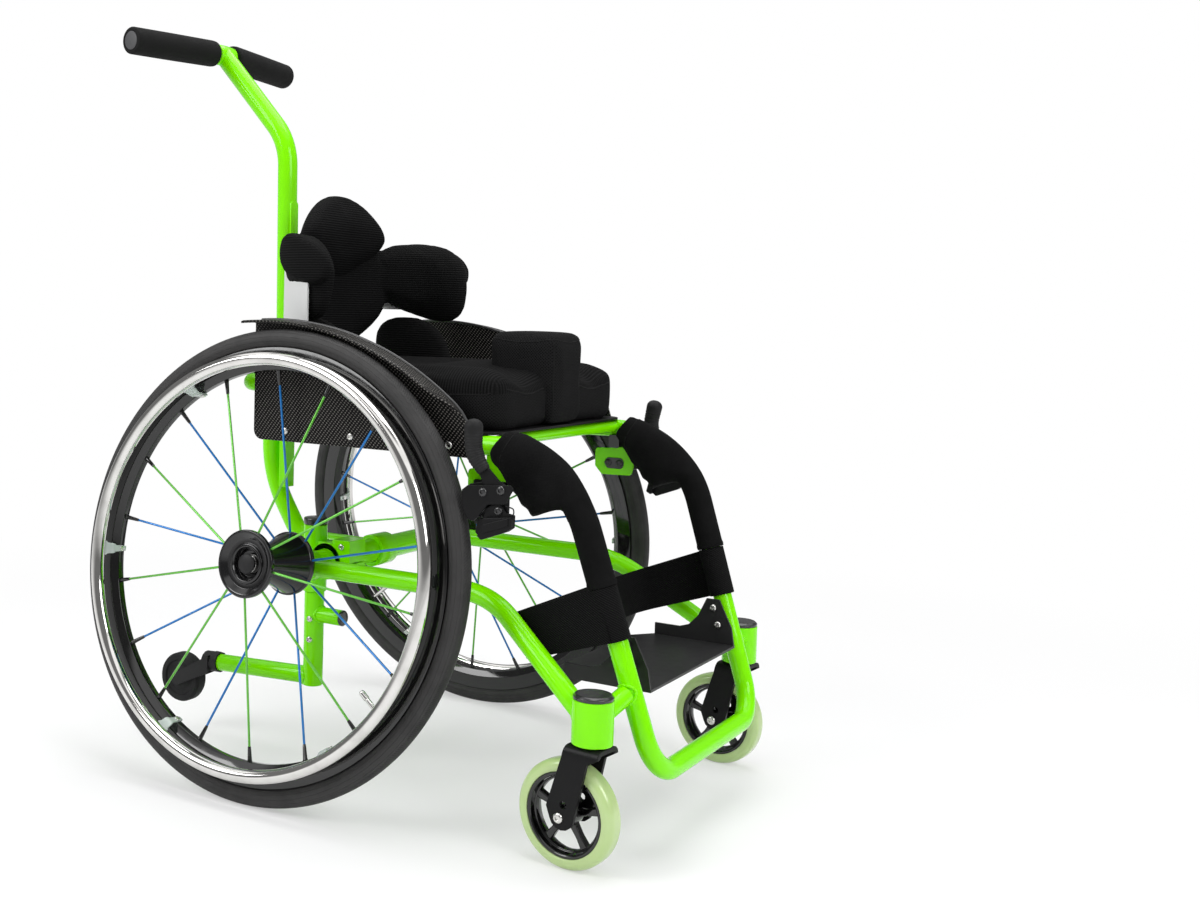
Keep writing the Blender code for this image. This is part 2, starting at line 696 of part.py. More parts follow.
def build_seat_rail(name, side, chair):
    """Seat rail that bends at the knee into the front leg, with the brake's tab under it."""
    path = rail_path(side)
    rail = tube(path, FRAME_TUBE, 12, (0, 1, 0))
    tab_outline = [
        (TAB_REAR, RAIL_HEIGHT), (TAB_STEP_X, RAIL_HEIGHT), (TAB_STEP_X, TAB_STEP),
        (TAB_FRONT, TAB_STEP - 0.002), (TAB_FRONT, TAB_BOTTOM), (TAB_REAR + 0.012, TAB_BOTTOM),
        (TAB_REAR, TAB_BOTTOM + 0.018),
    ]
    inner = side * (RAIL_Y - TAB_THICKNESS / 2)
    outer = side * (RAIL_Y + TAB_THICKNESS / 2)
    tab = prism(tab_outline, inner, outer)
    rear_bore = rod(path[0] - Vector((0.01, 0, 0)), path[0] + Vector((SPIGOT_LENGTH + 0.002, 0, 0)),
                    SPIGOT_RADIUS + GAP * 2)
    down = (path[-1] - path[-2]).normalized()
    leg_bore = rod(path[-1] + down * 0.01, path[-1] - down * (SPIGOT_LENGTH + 0.002),
                   SPIGOT_RADIUS + GAP * 2)
    part(name + "_seat_rail", cut(fuse(rail, tab), rear_bore, leg_bore), "lime_paint", chair)


def build_front_loop(chair):
    """Loop from one leg to the other under the footplate, with a spigot up into each leg."""
    tops = {side: leg_point(LEG_SPLIT, side) for side in (-1, 1)}
    corners = {side: leg_point(LOOP_HEIGHT, side) for side in (-1, 1)}
    down = {side: (corners[side] - tops[side]).normalized() for side in (-1, 1)}
    start = {side: tops[side] + down[side] * GAP for side in (-1, 1)}
    path = bent_path([start[-1], corners[-1], corners[1], start[1]], LOOP_BEND, 5)
    loop = tube(path, FRAME_TUBE, 12, (0, 1, 0))
    spigots = []
    for side in (-1, 1):
        spigots.append(rod(start[side] + down[side] * 0.004, tops[side] - down[side] * SPIGOT_LENGTH,
                           SPIGOT_RADIUS))
    part("front_loop", fuse(loop, *spigots), "lime_paint", chair)


def build_cross_tubes(chair):
    """Front cross tube between the rails, and the rear hoop that joins the rails to the back post."""
    height = RAIL_HEIGHT + 0.0025
    ends = [Vector((CROSS_TUBE_X, side * RAIL_Y, height)) for side in (-1, 1)]
    bend = [Vector((CROSS_TUBE_X - CROSS_TUBE_BOW, side * 0.09, height)) for side in (-1, 1)]
    front = tube(bent_path([ends[0], bend[0], bend[1], ends[1]], 0.25, 3), CROSS_TUBE, 10, (0, 0, 1))
    rails = [tube(rail_path(side), FRAME_TUBE + GAP, 12, (0, 1, 0)) for side in (-1, 1)]
    part("front_cross_tube", cut(front, *rails), "lime_paint", chair)
    rises = []
    for side in (-1, 1):
        rises.append([
            Vector((RAIL_REAR - GAP, side * RAIL_Y, RAIL_HEIGHT)),
            Vector((RAIL_REAR - 0.024, side * RAIL_Y, RAIL_HEIGHT)),
            Vector((RAIL_REAR - 0.034, side * RAIL_Y, HOOP_HEIGHT)),
            Vector((HOOP_X, side * RAIL_Y, HOOP_HEIGHT)),
        ])
    hoop = tube(bent_path(rises[0] + rises[1][::-1], HOOP_BEND, 2), HOOP_TUBE, 10, (0, 1, 0))
    spigots = []
    for side in (-1, 1):
        foot = Vector((RAIL_REAR, side * RAIL_Y, RAIL_HEIGHT))
        spigots.append(rod(foot - Vector((0.004, 0, 0)), foot + Vector((SPIGOT_LENGTH, 0, 0)),
                           SPIGOT_RADIUS))
    part("rear_hoop", fuse(hoop, *spigots), "lime_paint", chair)


def back_post_path():
    """Centre line of the lower post, from its top behind the seat down to the axle tube."""
    top = Vector((BACK_POST_X, 0, BACK_POST_TOP))
    axle = Vector((-AXLE_TUBE, 0, AXLE_HEIGHT))
    radii = [BACK_POST_BEND_RADIUS, BACK_POST_FOOT_RADIUS]
    return bent_path([top, BACK_POST_BEND, BACK_POST_FOOT, axle], radii, 4)


def push_post_line(height):
    """Point of the upper post's straight part at a height."""
    share = (height - PUSH_POST_FOOT.z) / (PUSH_POST_BEND.z - PUSH_POST_FOOT.z)
    return PUSH_POST_FOOT.lerp(PUSH_POST_BEND, share)


def bar_end(side, share=1.0):
    """Point of the push bar, a share of the way from its middle to an end."""
    return PUSH_POST_TOP + Vector((-BAR_SWEEP * share, side * BAR_HALF * share, -BAR_DROP * share))


def build_posts(chair):
    """Lower post on the axle tube, upper post with the push bar, the block that joins them, and the grips."""
    post = tube(back_post_path(), POST_TUBE, 14, (0, 1, 0))
    half = Vector((0, AXLE_CLAMP_WIDTH / 2, 0))
    axle = Vector((0, 0, AXLE_HEIGHT))
    clamp = rod(axle - half, axle + half, AXLE_CLAMP_RADIUS, 16)
    axle_space = rod(axle - half * 2, axle + half * 2, AXLE_TUBE + GAP, AXLE_TUBE_SIDES)
    part("back_post", cut(fuse(post, clamp), axle_space), "lime_paint", chair)

    path = bent_path([PUSH_POST_TOP, PUSH_POST_BEND, PUSH_POST_FOOT], PUSH_POST_BEND_RADIUS, 4)
    upper = tube(path, POST_TUBE, 14, (0, 1, 0))
    bar = tube([bar_end(-1), bar_end(0, 0), bar_end(1)], BAR_TUBE, 12, (0, 0, 1))
    sleeve = rod(bar_end(-1, 0.10), bar_end(1, 0.10), BAR_TUBE + 0.003, 14)
    low = push_post_line(POST_CLAMP_BOTTOM).x
    high = push_post_line(STRIP_TOP).x
    strip = prism([(low + 0.004, POST_CLAMP_BOTTOM + 0.02), (low + STRIP_FACE, POST_CLAMP_BOTTOM + 0.02),
                   (high + STRIP_FACE, STRIP_TOP), (high + 0.004, STRIP_TOP)], -STRIP_WIDTH / 2,
                   STRIP_WIDTH / 2)
    rail_bar = box((RAIL_BAR_X - RAIL_BAR_DEPTH / 2, -RAIL_BAR_WIDTH / 2, RAIL_BAR_BOTTOM),
                   (RAIL_BAR_X + RAIL_BAR_DEPTH / 2, RAIL_BAR_WIDTH / 2, PUSH_POST_FOOT.z + 0.012))
    post_space = tube(back_post_path(), POST_TUBE + GAP, 14, (0, 1, 0))
    push_post = cut(fuse(upper, bar, sleeve, strip, rail_bar), post_space)
    part("push_post", push_post, "lime_paint", chair)
    for name, side in SIDES.items():
        along = (bar_end(side) - bar_end(side, 0)).normalized()
        outer = bar_end(side) + along * 0.003
        inner = bar_end(side) - along * GRIP_LENGTH
        radii = [GRIP_RADIUS - 0.003, GRIP_RADIUS, GRIP_RADIUS, GRIP_RADIUS - 0.003]
        grip = tube([inner, inner + along * 0.003, outer - along * 0.003, outer], radii, 16)
        hole = rod(inner - along * 0.01, bar_end(side) + along * GAP, BAR_TUBE + GAP * 2)
        part(name + "_grip", cut(grip, hole), "black_foam", chair)

    block = box((BACK_POST_X - POST_TUBE - 0.004, -0.020, POST_CLAMP_BOTTOM),
                (PUSH_POST_FOOT.x + 0.022, 0.020, POST_CLAMP_TOP))
    lug = box((PUSH_POST_FOOT.x, -0.014, HOOP_HEIGHT - 0.012), (HOOP_X, 0.014, HOOP_HEIGHT + 0.012))
    ring = rod((HOOP_X, -0.014, HOOP_HEIGHT), (HOOP_X, 0.014, HOOP_HEIGHT), HOOP_TUBE + 0.005, 14)
    hoop_space = rod((HOOP_X, -0.03, HOOP_HEIGHT), (HOOP_X, 0.03, HOOP_HEIGHT),
                     (HOOP_TUBE + GAP) / math.cos(math.pi / 12), 12)
    lower_space = rod((BACK_POST_X, 0, POST_CLAMP_BOTTOM - 0.01), (BACK_POST_X, 0, BACK_POST_TOP + GAP),
                      POST_TUBE + GAP, 14)
    upper_space = rod(PUSH_POST_FOOT - Vector((0, 0, GAP)), push_post_line(POST_CLAMP_TOP + 0.01),
                      POST_TUBE + GAP, 14)
    strip_space = box((PUSH_POST_FOOT.x, -STRIP_WIDTH / 2 - GAP, POST_CLAMP_BOTTOM + 0.01),
                      (low + STRIP_FACE + GAP, STRIP_WIDTH / 2 + GAP, POST_CLAMP_TOP + 0.01))
    bar_space = box((RAIL_BAR_X - RAIL_BAR_DEPTH / 2 - GAP, -RAIL_BAR_WIDTH / 2 - GAP,
                     POST_CLAMP_BOTTOM - 0.01),
                    (RAIL_BAR_X + RAIL_BAR_DEPTH / 2 + GAP, RAIL_BAR_WIDTH / 2 + GAP,
                     PUSH_POST_FOOT.z + 0.013))
    clamp = cut(fuse(block, lug, ring), hoop_space, lower_space, upper_space, strip_space, bar_space)
    part("post_clamp", clamp, "black_satin", chair)


def shell_point(angle, height, depth=0.0):
    """Point of the back support: depth is the distance inwards from the shell's outer ellipse."""
    outward = Vector((-math.cos(angle), math.sin(angle), 0))
    across = Vector((SHELL_CENTRE_X - SHELL_DEPTH * math.cos(angle), SHELL_HALF_WIDTH * math.sin(angle),
                     height))
    return across - outward * depth


def shell_edges(angle):
    """Lower and upper edge of the shell at an angle: tall in the middle, with a shorter wing each side."""
    wing = smooth(abs(angle), math.radians(28), math.radians(50))
    low = SHELL_BOTTOM + (SHELL_WING_BOTTOM - SHELL_BOTTOM) * wing
    high = SHELL_TOP + (SHELL_WING_TOP - SHELL_TOP) * wing
    return low, high


def shell_sheet(margin, steps=18):
    """The shell's sheet, grown by a margin on every side."""
    rings = []
    reach = SHELL_WING_ANGLE + margin / SHELL_HALF_WIDTH
    for i in range(steps + 1):
        angle = reach * (2 * i / steps - 1)
        low, high = shell_edges(angle)
        corners = [(low - margin, -margin), (high + margin, -margin),
                   (high + margin, SHELL_THICKNESS + margin),
                   (low - margin, SHELL_THICKNESS + margin)]
        rings.append([shell_point(angle, height, depth) for height, depth in corners])
    return skin(rings)


def build_back_shell(chair):
    """Bent metal shell with a wing each side, on two spacers from the upper post's strip."""
    spacers = []
    for height in (SHELL_BOTTOM + 0.035, SHELL_TOP - 0.035):
        face = push_post_line(height).x + STRIP_FACE + GAP * 2
        spacers.append(rod((face, 0, height), (SHELL_CENTRE_X - SHELL_DEPTH + SHELL_THICKNESS / 2, 0,
                                               height), 0.009, 12))
    part("back_shell", fuse(shell_sheet(0.0), *spacers), "silver_shell", chair)


def on_shell(angle, height):
    """Maps a pad's own frame to the shell: X along the wall, Y up, Z away from the wall."""
    def place(point):
        turn = angle + point.x / ((SHELL_DEPTH + SHELL_HALF_WIDTH) / 2)
        return shell_point(turn, height + point.y, SHELL_THICKNESS + GAP * 2 - point.z)
    return place


def build_back_pads(chair):
    """Back cushion with its round top lobe, and the lateral pads pulled over the shell's wings."""
    half_height = (BACK_PAD_TOP - BACK_PAD_BOTTOM) / 2
    centre = BACK_PAD_BOTTOM + half_height
    half_depth = BACK_PAD_THICKNESS / 2
    half_width = BACK_PAD_ANGLE * (SHELL_DEPTH + SHELL_HALF_WIDTH) / 2
    place = on_shell(0, centre)

    def trunk_and_lobe(point):
        height = centre + point.y
        narrow = 1 - 0.45 * (1 - smooth(height, BACK_PAD_BOTTOM - 0.02, BACK_PAD_BOTTOM + 0.055))
        narrow -= 0.08 * smooth(height, BACK_PAD_CREASE, BACK_PAD_TOP)
        crease = math.exp(-((height - BACK_PAD_CREASE) / 0.016) ** 2)
        depth = half_depth + point.z * (1 - 0.16 * crease)
        lean = BACK_PAD_LEAN * smooth(height, BACK_PAD_CREASE, BACK_PAD_TOP)
        return place(Vector((point.x * narrow * (1 - 0.07 * crease), point.y, -depth))) + Vector((lean,
                                                                                                  0, 0))

    cushion = padded((half_width, half_height, half_depth), 2.5, 3.2, 32, trunk_and_lobe)
    part("back_cushion", cushion, "black_fabric", chair)
    for name, side in SIDES.items():
        end = LATERAL_END[side]
        span = (end - LATERAL_START) / 2 * (SHELL_DEPTH + SHELL_HALF_WIDTH) / 2
        spot = on_shell(side * (LATERAL_START + end) / 2, (LATERAL_BOTTOM + LATERAL_TOP) / 2)
        flap_spot = on_shell(side * (LATERAL_START + end) / 2, (FLAP_BOTTOM + LATERAL_TOP) / 2)
        total = LATERAL_THICKNESS + FLAP_THICKNESS + SHELL_THICKNESS

        def inner(point, spot=spot, droop=side * LATERAL_DROOP):
            return spot(Vector((point.x, point.y - droop * point.x, point.z - LATERAL_THICKNESS / 2)))

        def outer(point, spot=flap_spot, droop=side * LATERAL_DROOP,
                  back=FLAP_THICKNESS + SHELL_THICKNESS - total / 2):
            return spot(Vector((point.x, point.y - droop * point.x, point.z + back)))

        half = (span, (LATERAL_TOP - LATERAL_BOTTOM) / 2, LATERAL_THICKNESS / 2)
        pad = padded(half, 2.3, 3.0, 18, inner)
        half = (span * 0.96, (LATERAL_TOP - FLAP_BOTTOM) / 2, total / 2)
        flap = padded(half, 2.4, 5.0, 18, outer)
        wing = shell_sheet(GAP * 2)
        part(name + "_lateral_pad", cut(fuse(pad, flap), wing), "black_fabric", chair)


def smooth(value, low, high):
    """Rises smoothly from 0 at low to 1 at high."""
    share = min(1.0, max(0.0, (value - low) / (high - low)))
    return share * share * (3 - 2 * share)


def build_seat(chair):
    """Seat pan on the rails, contoured cushion, pommel and hip pads."""
    pan_bottom = RAIL_HEIGHT + FRAME_TUBE + GAP
    pan_top = pan_bottom + PAN_THICKNESS
    pan = prism(
        [(PAN_REAR, -PAN_HALF_WIDTH), (PAN_FRONT - 0.02, -PAN_HALF_WIDTH),
         (PAN_FRONT, -PAN_HALF_WIDTH + 0.02),
         (PAN_FRONT, PAN_HALF_WIDTH - 0.02), (PAN_FRONT - 0.02, PAN_HALF_WIDTH),
         (PAN_REAR, PAN_HALF_WIDTH)],
        pan_bottom, pan_top, "xy")
    part("seat_pan", pan, "black_satin", chair)

    bottom = pan_top + GAP
    half_length = (CUSHION_FRONT - CUSHION_REAR) / 2
    middle_x = (CUSHION_FRONT + CUSHION_REAR) / 2
    half_height = (CUSHION_TOP - bottom) / 2
    rear_half_width = HIP_PAD_Y - HIP_PAD_THICKNESS / 2 - CUSHION_CLEARANCE

    def contour(point):
        x = point.x + middle_x
        widen = smooth(x, HIP_PAD_X + HIP_PAD_LENGTH / 2 + 0.008, HIP_PAD_X + HIP_PAD_LENGTH / 2 + 0.05)
        y = point.y / CUSHION_HALF_WIDTH
        width = rear_half_width + (CUSHION_HALF_WIDTH - rear_half_width) * widen
        z = bottom + half_height + max(point.z, -half_height * 0.86) / (0.86 if point.z < 0 else 1.0)
        if point.z > 0:
            trough = 0.016 * math.exp(-((abs(y) - 0.5) / 0.22) ** 2) * smooth(x, 0.02, 0.14)
            seat_dip = 0.012 * math.exp(-(y / 0.6) ** 2) * (1 - smooth(x, 0.05, 0.16))
            z -= (trough + seat_dip) * min(1.0, point.z / (0.5 * half_height))
        return Vector((x, y * width, z))

    cushion = padded((half_length, CUSHION_HALF_WIDTH, half_height), 7.0, 4.5, 44, contour)
    notch_half = POMMEL_HALF_WIDTH + CUSHION_CLEARANCE
    notch = box((POMMEL_REAR - CUSHION_CLEARANCE, -notch_half, bottom - 0.01),
                (CUSHION_FRONT + 0.02, notch_half, CUSHION_TOP + 0.02))
    part("seat_cushion", cut(cushion, notch), "black_fabric", chair)

    half_pommel = ((POMMEL_FRONT - POMMEL_REAR) / 2, POMMEL_HALF_WIDTH, (POMMEL_TOP - bottom) / 2)

    def stand(point):
        return point + Vector(((POMMEL_FRONT + POMMEL_REAR) / 2, 0, bottom + half_pommel[2]))

    part("pommel", padded(half_pommel, 6.0, 7.0, 20, stand), "black_fabric", chair)

    half_pad = (HIP_PAD_LENGTH / 2, (HIP_PAD_TOP - bottom) / 2, HIP_PAD_THICKNESS / 2)
    for name, side in SIDES.items():

        def beside_cushion(point, side=side):
            lean = -HIP_PAD_LEAN * (point.y - half_pad[1] * 0.4)
            return Vector((HIP_PAD_X + point.x + lean, side * (HIP_PAD_Y + point.z),
                           point.y + bottom + half_pad[1]))

        part(name + "_hip_pad", padded(half_pad, 2.5, 3.0, 20, beside_cushion), "black_fabric", chair)


def guard_arc(x):
    """Height of the guard's curved top edge at a place along the chair."""
    return GUARD_ARC_Z + math.sqrt(GUARD_ARC_RADIUS ** 2 - (x - GUARD_ARC_X) ** 2)


def build_guard(name, side, chair):
    """Carbon side panel with a curved lip over the tyre, and the screws that hold it to the seat rail."""
    steps = 8
    places = [GUARD_FRONT + (GUARD_REAR - GUARD_FRONT) * i / steps for i in range(steps + 1)]
    top = [(x, guard_arc(x)) for x in places]
    corner = arc((GUARD_REAR + 0.012, GUARD_BOTTOM + 0.012), 0.012, 180, 270, 3)
    outline = top + corner + [(GUARD_FRONT, GUARD_BOTTOM)]
    inner = side * (GUARD_Y - GUARD_THICKNESS / 2)
    outer = side * (GUARD_Y + GUARD_THICKNESS / 2)
    panel = prism(outline, inner, outer)
    under = [(x, z - LIP_THICKNESS) for x, z in reversed(top)]
    lip = prism(top + under, side * (GUARD_Y - GUARD_THICKNESS / 4), side * LIP_OUTER_Y)
    lip_width = LIP_OUTER_Y - GUARD_Y
    rounded = [(GUARD_REAR - 0.01, side * (LIP_OUTER_Y + 0.01)),
               (GUARD_REAR + lip_width, side * (LIP_OUTER_Y + 0.01))]
    rounded += [(GUARD_REAR + lip_width - lip_width * math.sin(math.radians(a)),
                 side * (GUARD_Y + lip_width * math.cos(math.radians(a))))
                for a in (0, 30, 60, 85)]
    rounded.append((GUARD_REAR - 0.01, side * (GUARD_Y + lip_width * math.cos(math.radians(85)))))
    corner_cut = prism(rounded, RAIL_HEIGHT + 0.05, RAIL_HEIGHT + 0.2, "xy")
    screws = []
    for x in (GUARD_REAR + 0.048, 0.081, 0.214):
        start = (x, side * (RAIL_Y + FRAME_TUBE + GAP), RAIL_HEIGHT - 0.001)
        end = (x, side * (GUARD_Y + GUARD_THICKNESS / 2 + 0.0022), RAIL_HEIGHT - 0.001)
        screws.append(rod(start, end, 0.0042, 6))
    part(name + "_side_guard", fuse(panel, cut(lip, corner_cut), *screws), "carbon", chair)


def build_knee_guard(name, side, chair):
    """Padded sleeve round the knee bend: full and low under the bend, close to the tube down the leg."""
    sides = 10
    path = [Vector((KNEE_GUARD_START, side * RAIL_Y, RAIL_HEIGHT))]
    for point in rail_path(side):
        if point.x >= KNEE_GUARD_START + 0.01 and point.z > KNEE_GUARD_END_HEIGHT + 0.02:
            path.append(point)
    path.append(leg_point(KNEE_GUARD_END_HEIGHT, side))
    lengths = [0.0]
    for before, after in zip(path, path[1:]):
        lengths.append(lengths[-1] + (after - before).length)
    outer_rings = []
    inner_rings = []
    for point, length, (across, inward) in zip(path, lengths, carried_frames(path, (0, side, 0))):
        if inward.z > 0 or inward.x > 0:
            inward = -inward
        share = length / lengths[-1]
        crest = smooth(share, -0.05, 0.15) * (1 - smooth(share, 0.6, 0.9))
        bulge = smooth(share, -0.05, 0.24) * (1 - smooth(share, 0.33, 0.58))
        above = FRAME_TUBE + KNEE_GUARD_WALL + KNEE_GUARD_CREST * crest
        below = FRAME_TUBE + KNEE_GUARD_WALL + KNEE_GUARD_BULGE * bulge
        wide = FRAME_TUBE + KNEE_GUARD_WALL + KNEE_GUARD_CREST * (crest + bulge)
        centre = point + inward * (below - above) / 2
        tall = (below + above) / 2
        angles = [math.tau * (i + 0.5) / sides for i in range(sides)]
        outer_rings.append([centre + across * math.cos(a) * wide + inward * math.sin(a) * tall for a in angles])
        bore = (FRAME_TUBE + GAP * 2) / math.cos(math.pi / sides)
        inner_rings.append([point + (across * math.cos(a) + inward * math.sin(a)) * bore for a in angles])
    sleeve = skin(outer_rings + inner_rings[::-1], loop=True)
    inner_face = side * (RAIL_Y - TAB_THICKNESS / 2 - GAP)
    tab_space = box((KNEE_GUARD_START - 0.02, inner_face, TAB_BOTTOM - 0.022),
                    (TAB_FRONT + GAP, side * BRAKE_PLATE_Y, TAB_STEP + GAP))
    part(name + "_knee_guard", cut(sleeve, tab_space), "black_foam", chair)


def build_strap(chair):
    """Wide calf strap: round both legs and back behind the calves in a U, a little narrower at the back."""
    leg_up = leg_point(LEG_SPLIT, 1) - leg_point(LOOP_HEIGHT, 1)
    up = Vector((leg_up.x, 0, leg_up.z)).normalized()
    legs = {side: leg_point(STRAP_LEG_HEIGHT, side) for side in (-1, 1)}
    outside = FRAME_TUBE + STRAP_THICKNESS / 2 + GAP
    corners = []
    for side in (-1, 1):
        front = legs[side] + Vector((0, side * outside, 0))
        rear = Vector((STRAP_REAR_X, side * (RAIL_Y - 0.004), STRAP_REAR_HEIGHT))
        corners.append([front, rear])
    path = bent_path(corners[0] + corners[1][::-1], 0.030, 4)
    rings = []
    front_x = legs[1].x
    for point, (across, _) in zip(path, carried_frames(path, (0, -1, 0))):
        back = (front_x - point.x) / (front_x - STRAP_REAR_X)
        half = STRAP_HEIGHT / 2 * (1 - (1 - STRAP_REAR_NARROWING) * back)
        flat = (across - up * across.dot(up)).normalized() * STRAP_THICKNESS / 2
        rings.append([point + up * half + flat, point + up * half - flat, point - up * half - flat,
                      point - up * half + flat])
    band = skin(rings)
    wraps = []
    spaces = []
    half = STRAP_HEIGHT / 2
    for side in (-1, 1):
        along = (leg_point(LEG_SPLIT, side) - leg_point(LOOP_HEIGHT, side)).normalized()
        wraps.append(rod(legs[side] - along * half, legs[side] + along * half,
                         FRAME_TUBE + STRAP_THICKNESS, 14))
        spaces.append(rod(legs[side] - along * STRAP_HEIGHT, legs[side] + along * STRAP_HEIGHT,
                          FRAME_TUBE + GAP * 3, 14))
    part("calf_strap", cut(fuse(band, *wraps), *spaces), "black_fabric", chair)


def build_footplate(chair):
    """Folded sheet between the legs: low curb at each side that rises to an ear with two screws at the leg."""
    bottom = FOOT_TOP - FOOT_PLATE
    plate = prism(
        [(FOOT_REAR, -FOOT_HALF_WIDTH + 0.03), (CURB_REAR, -FOOT_HALF_WIDTH),
         (FOOT_FRONT, -FOOT_HALF_WIDTH),
         (FOOT_FRONT, FOOT_HALF_WIDTH), (CURB_REAR, FOOT_HALF_WIDTH),
         (FOOT_REAR, FOOT_HALF_WIDTH - 0.03)],
        bottom, FOOT_TOP, "xy")
    pieces = []
    for side in (-1, 1):
        leg = leg_point(0.2, side)
        inner = side * (FOOT_HALF_WIDTH - FOOT_PLATE)
        outer = side * FOOT_HALF_WIDTH
        ear = [(CURB_REAR, bottom), (FOOT_FRONT, bottom), (leg.x + 0.014, FOOT_TOP + 0.021),
               (leg.x - 0.002, EAR_TOP), (leg.x - 0.018, EAR_TOP),
               (leg.x - 0.028, FOOT_TOP + 0.031), (leg.x - 0.040, FOOT_TOP + 0.018),
               (leg.x - 0.052, FOOT_TOP + CURB), (CURB_REAR, FOOT_TOP + CURB)]
        pieces.append(prism(ear, inner, outer))
        for height in (0.198, 0.218):
            point = leg_point(height, side)
            start = Vector((point.x - 0.003, inner - side * 0.002, height))
            end = Vector((point.x - 0.003, side * (abs(point.y) - 0.004), height))
            pieces.append(rod(start, end, 0.0042, 6))
    legs = [tube([leg_point(LEG_SPLIT, side), leg_point(0.1, side)], FRAME_TUBE + GAP, 12,
                 (0, 1, 0)) for side in (-1, 1)]
    part("footplate", cut(fuse(plate, *pieces), *legs), "black_satin", chair)


def build_caster(name, side, chair):
    """Fork bent from flat bar that swivels in the head tube, with its wheel, tyre and axle bolt."""
    place = Matrix.Translation((HEAD_X, side * HEAD_Y, 0)) @ Matrix.Rotation(CASTER_TURN, 4, "Z")
    swivel = pivot(name + "_caster_swivel", place, chair)
    outside = FORK_INSIDE + FORK_PLATE
    top = HEAD_BOTTOM - 0.0015
    bend = 0.008
    axle = (-CASTER_TRAIL, CASTER_RADIUS)
    shoulder = arc((outside - bend, top - bend), bend, 0, 90, 3)
    section = [(outside, 0.03)] + shoulder + [(-y, z) for y,
                                              z in reversed(shoulder)] + [(-outside, 0.03),
                                                                          (-FORK_INSIDE, 0.03)]
    section += [(-FORK_INSIDE, top - bend), (-FORK_INSIDE + bend - FORK_PLATE, top - FORK_PLATE)]
    section += [(FORK_INSIDE - bend + FORK_PLATE, top - FORK_PLATE), (FORK_INSIDE, top - bend),
                (FORK_INSIDE, 0.03)]
    end = arc((axle[0] + 0.003, axle[1] + 0.002), 0.0145, 195, 345, 6)
    side_view = [(0.019, top + 0.002), (-0.021, top + 0.002), (-0.024, top - 0.013),
                 (-0.0405, axle[1] + 0.010)] + end
    side_view += [(0.006, top - 0.016), (0.019, top - 0.008)]
    bent = combine("INTERSECT", prism(section, -0.06, 0.04, "yz"), prism(side_view, -0.04, 0.04))
    stem = rod((0, 0, top - 0.002), (0, 0, HEAD_TOP - 0.006), STEM_RADIUS, 12)
    washer = rod((0, 0, top - 0.002), (0, 0, HEAD_BOTTOM - GAP), 0.012, 12)
    holes = rod((axle[0], -outside - 0.01, axle[1]), (axle[0], outside + 0.01, axle[1]),
                CASTER_BOLT + GAP * 2, 12)
    upper = (axle[0] + 0.005, axle[1] + 0.014)
    spare = rod((upper[0], -outside - 0.01, upper[1]), (upper[0], outside + 0.01, upper[1]),
                CASTER_BOLT, 8)
    part(name + "_caster_fork", cut(fuse(bent, stem, washer), holes, spare), "black_satin", swivel)

    facing = axes(Vector((side, 0, 0)), Vector((0, 0, 1)), Vector((0, -side, 0)),
                  Vector((axle[0], 0, axle[1])))
    rolling = pivot(name + "_caster_axis", facing, swivel)
    head = outside + GAP
    bolt = turned([(0.006, -head - 0.003), (0.0065, -head), (CASTER_BOLT, -head), (CASTER_BOLT, head),
                   (0.0065, head), (0.006, head + 0.003)], 12)
    part(name + "_caster_axle", bolt, "polished_steel", rolling)
    part(name + "_caster_wheel", build_caster_wheel(), "black_gloss", rolling)
    half = CASTER_HALF_WIDTH
    seat = CASTER_RIM + GAP
    tyre = [
        (seat, -half), (seat, half), (CASTER_RADIUS - 0.005, half), (CASTER_RADIUS, half - 0.007),
        (CASTER_RADIUS, -half + 0.007), (CASTER_RADIUS - 0.005, -half),
    ]
    part(name + "_caster_tyre", turned(tyre, 24, loop=True), "pale_tyre", rolling)


def build_caster_wheel():
    """Moulded wheel: hub, five spokes and a rim, with a bore for the bolt."""
    half = CASTER_HALF_WIDTH - 0.001
    rim = turned([(CASTER_RIM, -half), (CASTER_RIM, half), (CASTER_RIM - 0.004, half),
                  (CASTER_RIM - 0.007, 0),
                  (CASTER_RIM - 0.004, -half)], 24, loop=True)
    hub = turned([(0.0125, -FORK_INSIDE + 0.0005), (0.0125, FORK_INSIDE - 0.0005)], 12)
    spokes = []
    for index in range(CASTER_SPOKES):
        angle = math.tau * index / CASTER_SPOKES + math.radians(20)
        bar = box((0.008, -0.004, -0.0045), (CASTER_RIM - 0.003, 0.004, 0.0045))
        spokes.append(moved(bar, Matrix.Rotation(angle, 4, "Z")))
    bore = rod((0, 0, -0.03), (0, 0, 0.03), CASTER_BOLT + BORE_PLAY, 10)
    return cut(fuse(rim, hub, *spokes), bore)


def rectangle(left, low, right, high):
    """Corners of an upright rectangle."""
    return [(left, low), (right, low), (right, high), (left, high)]


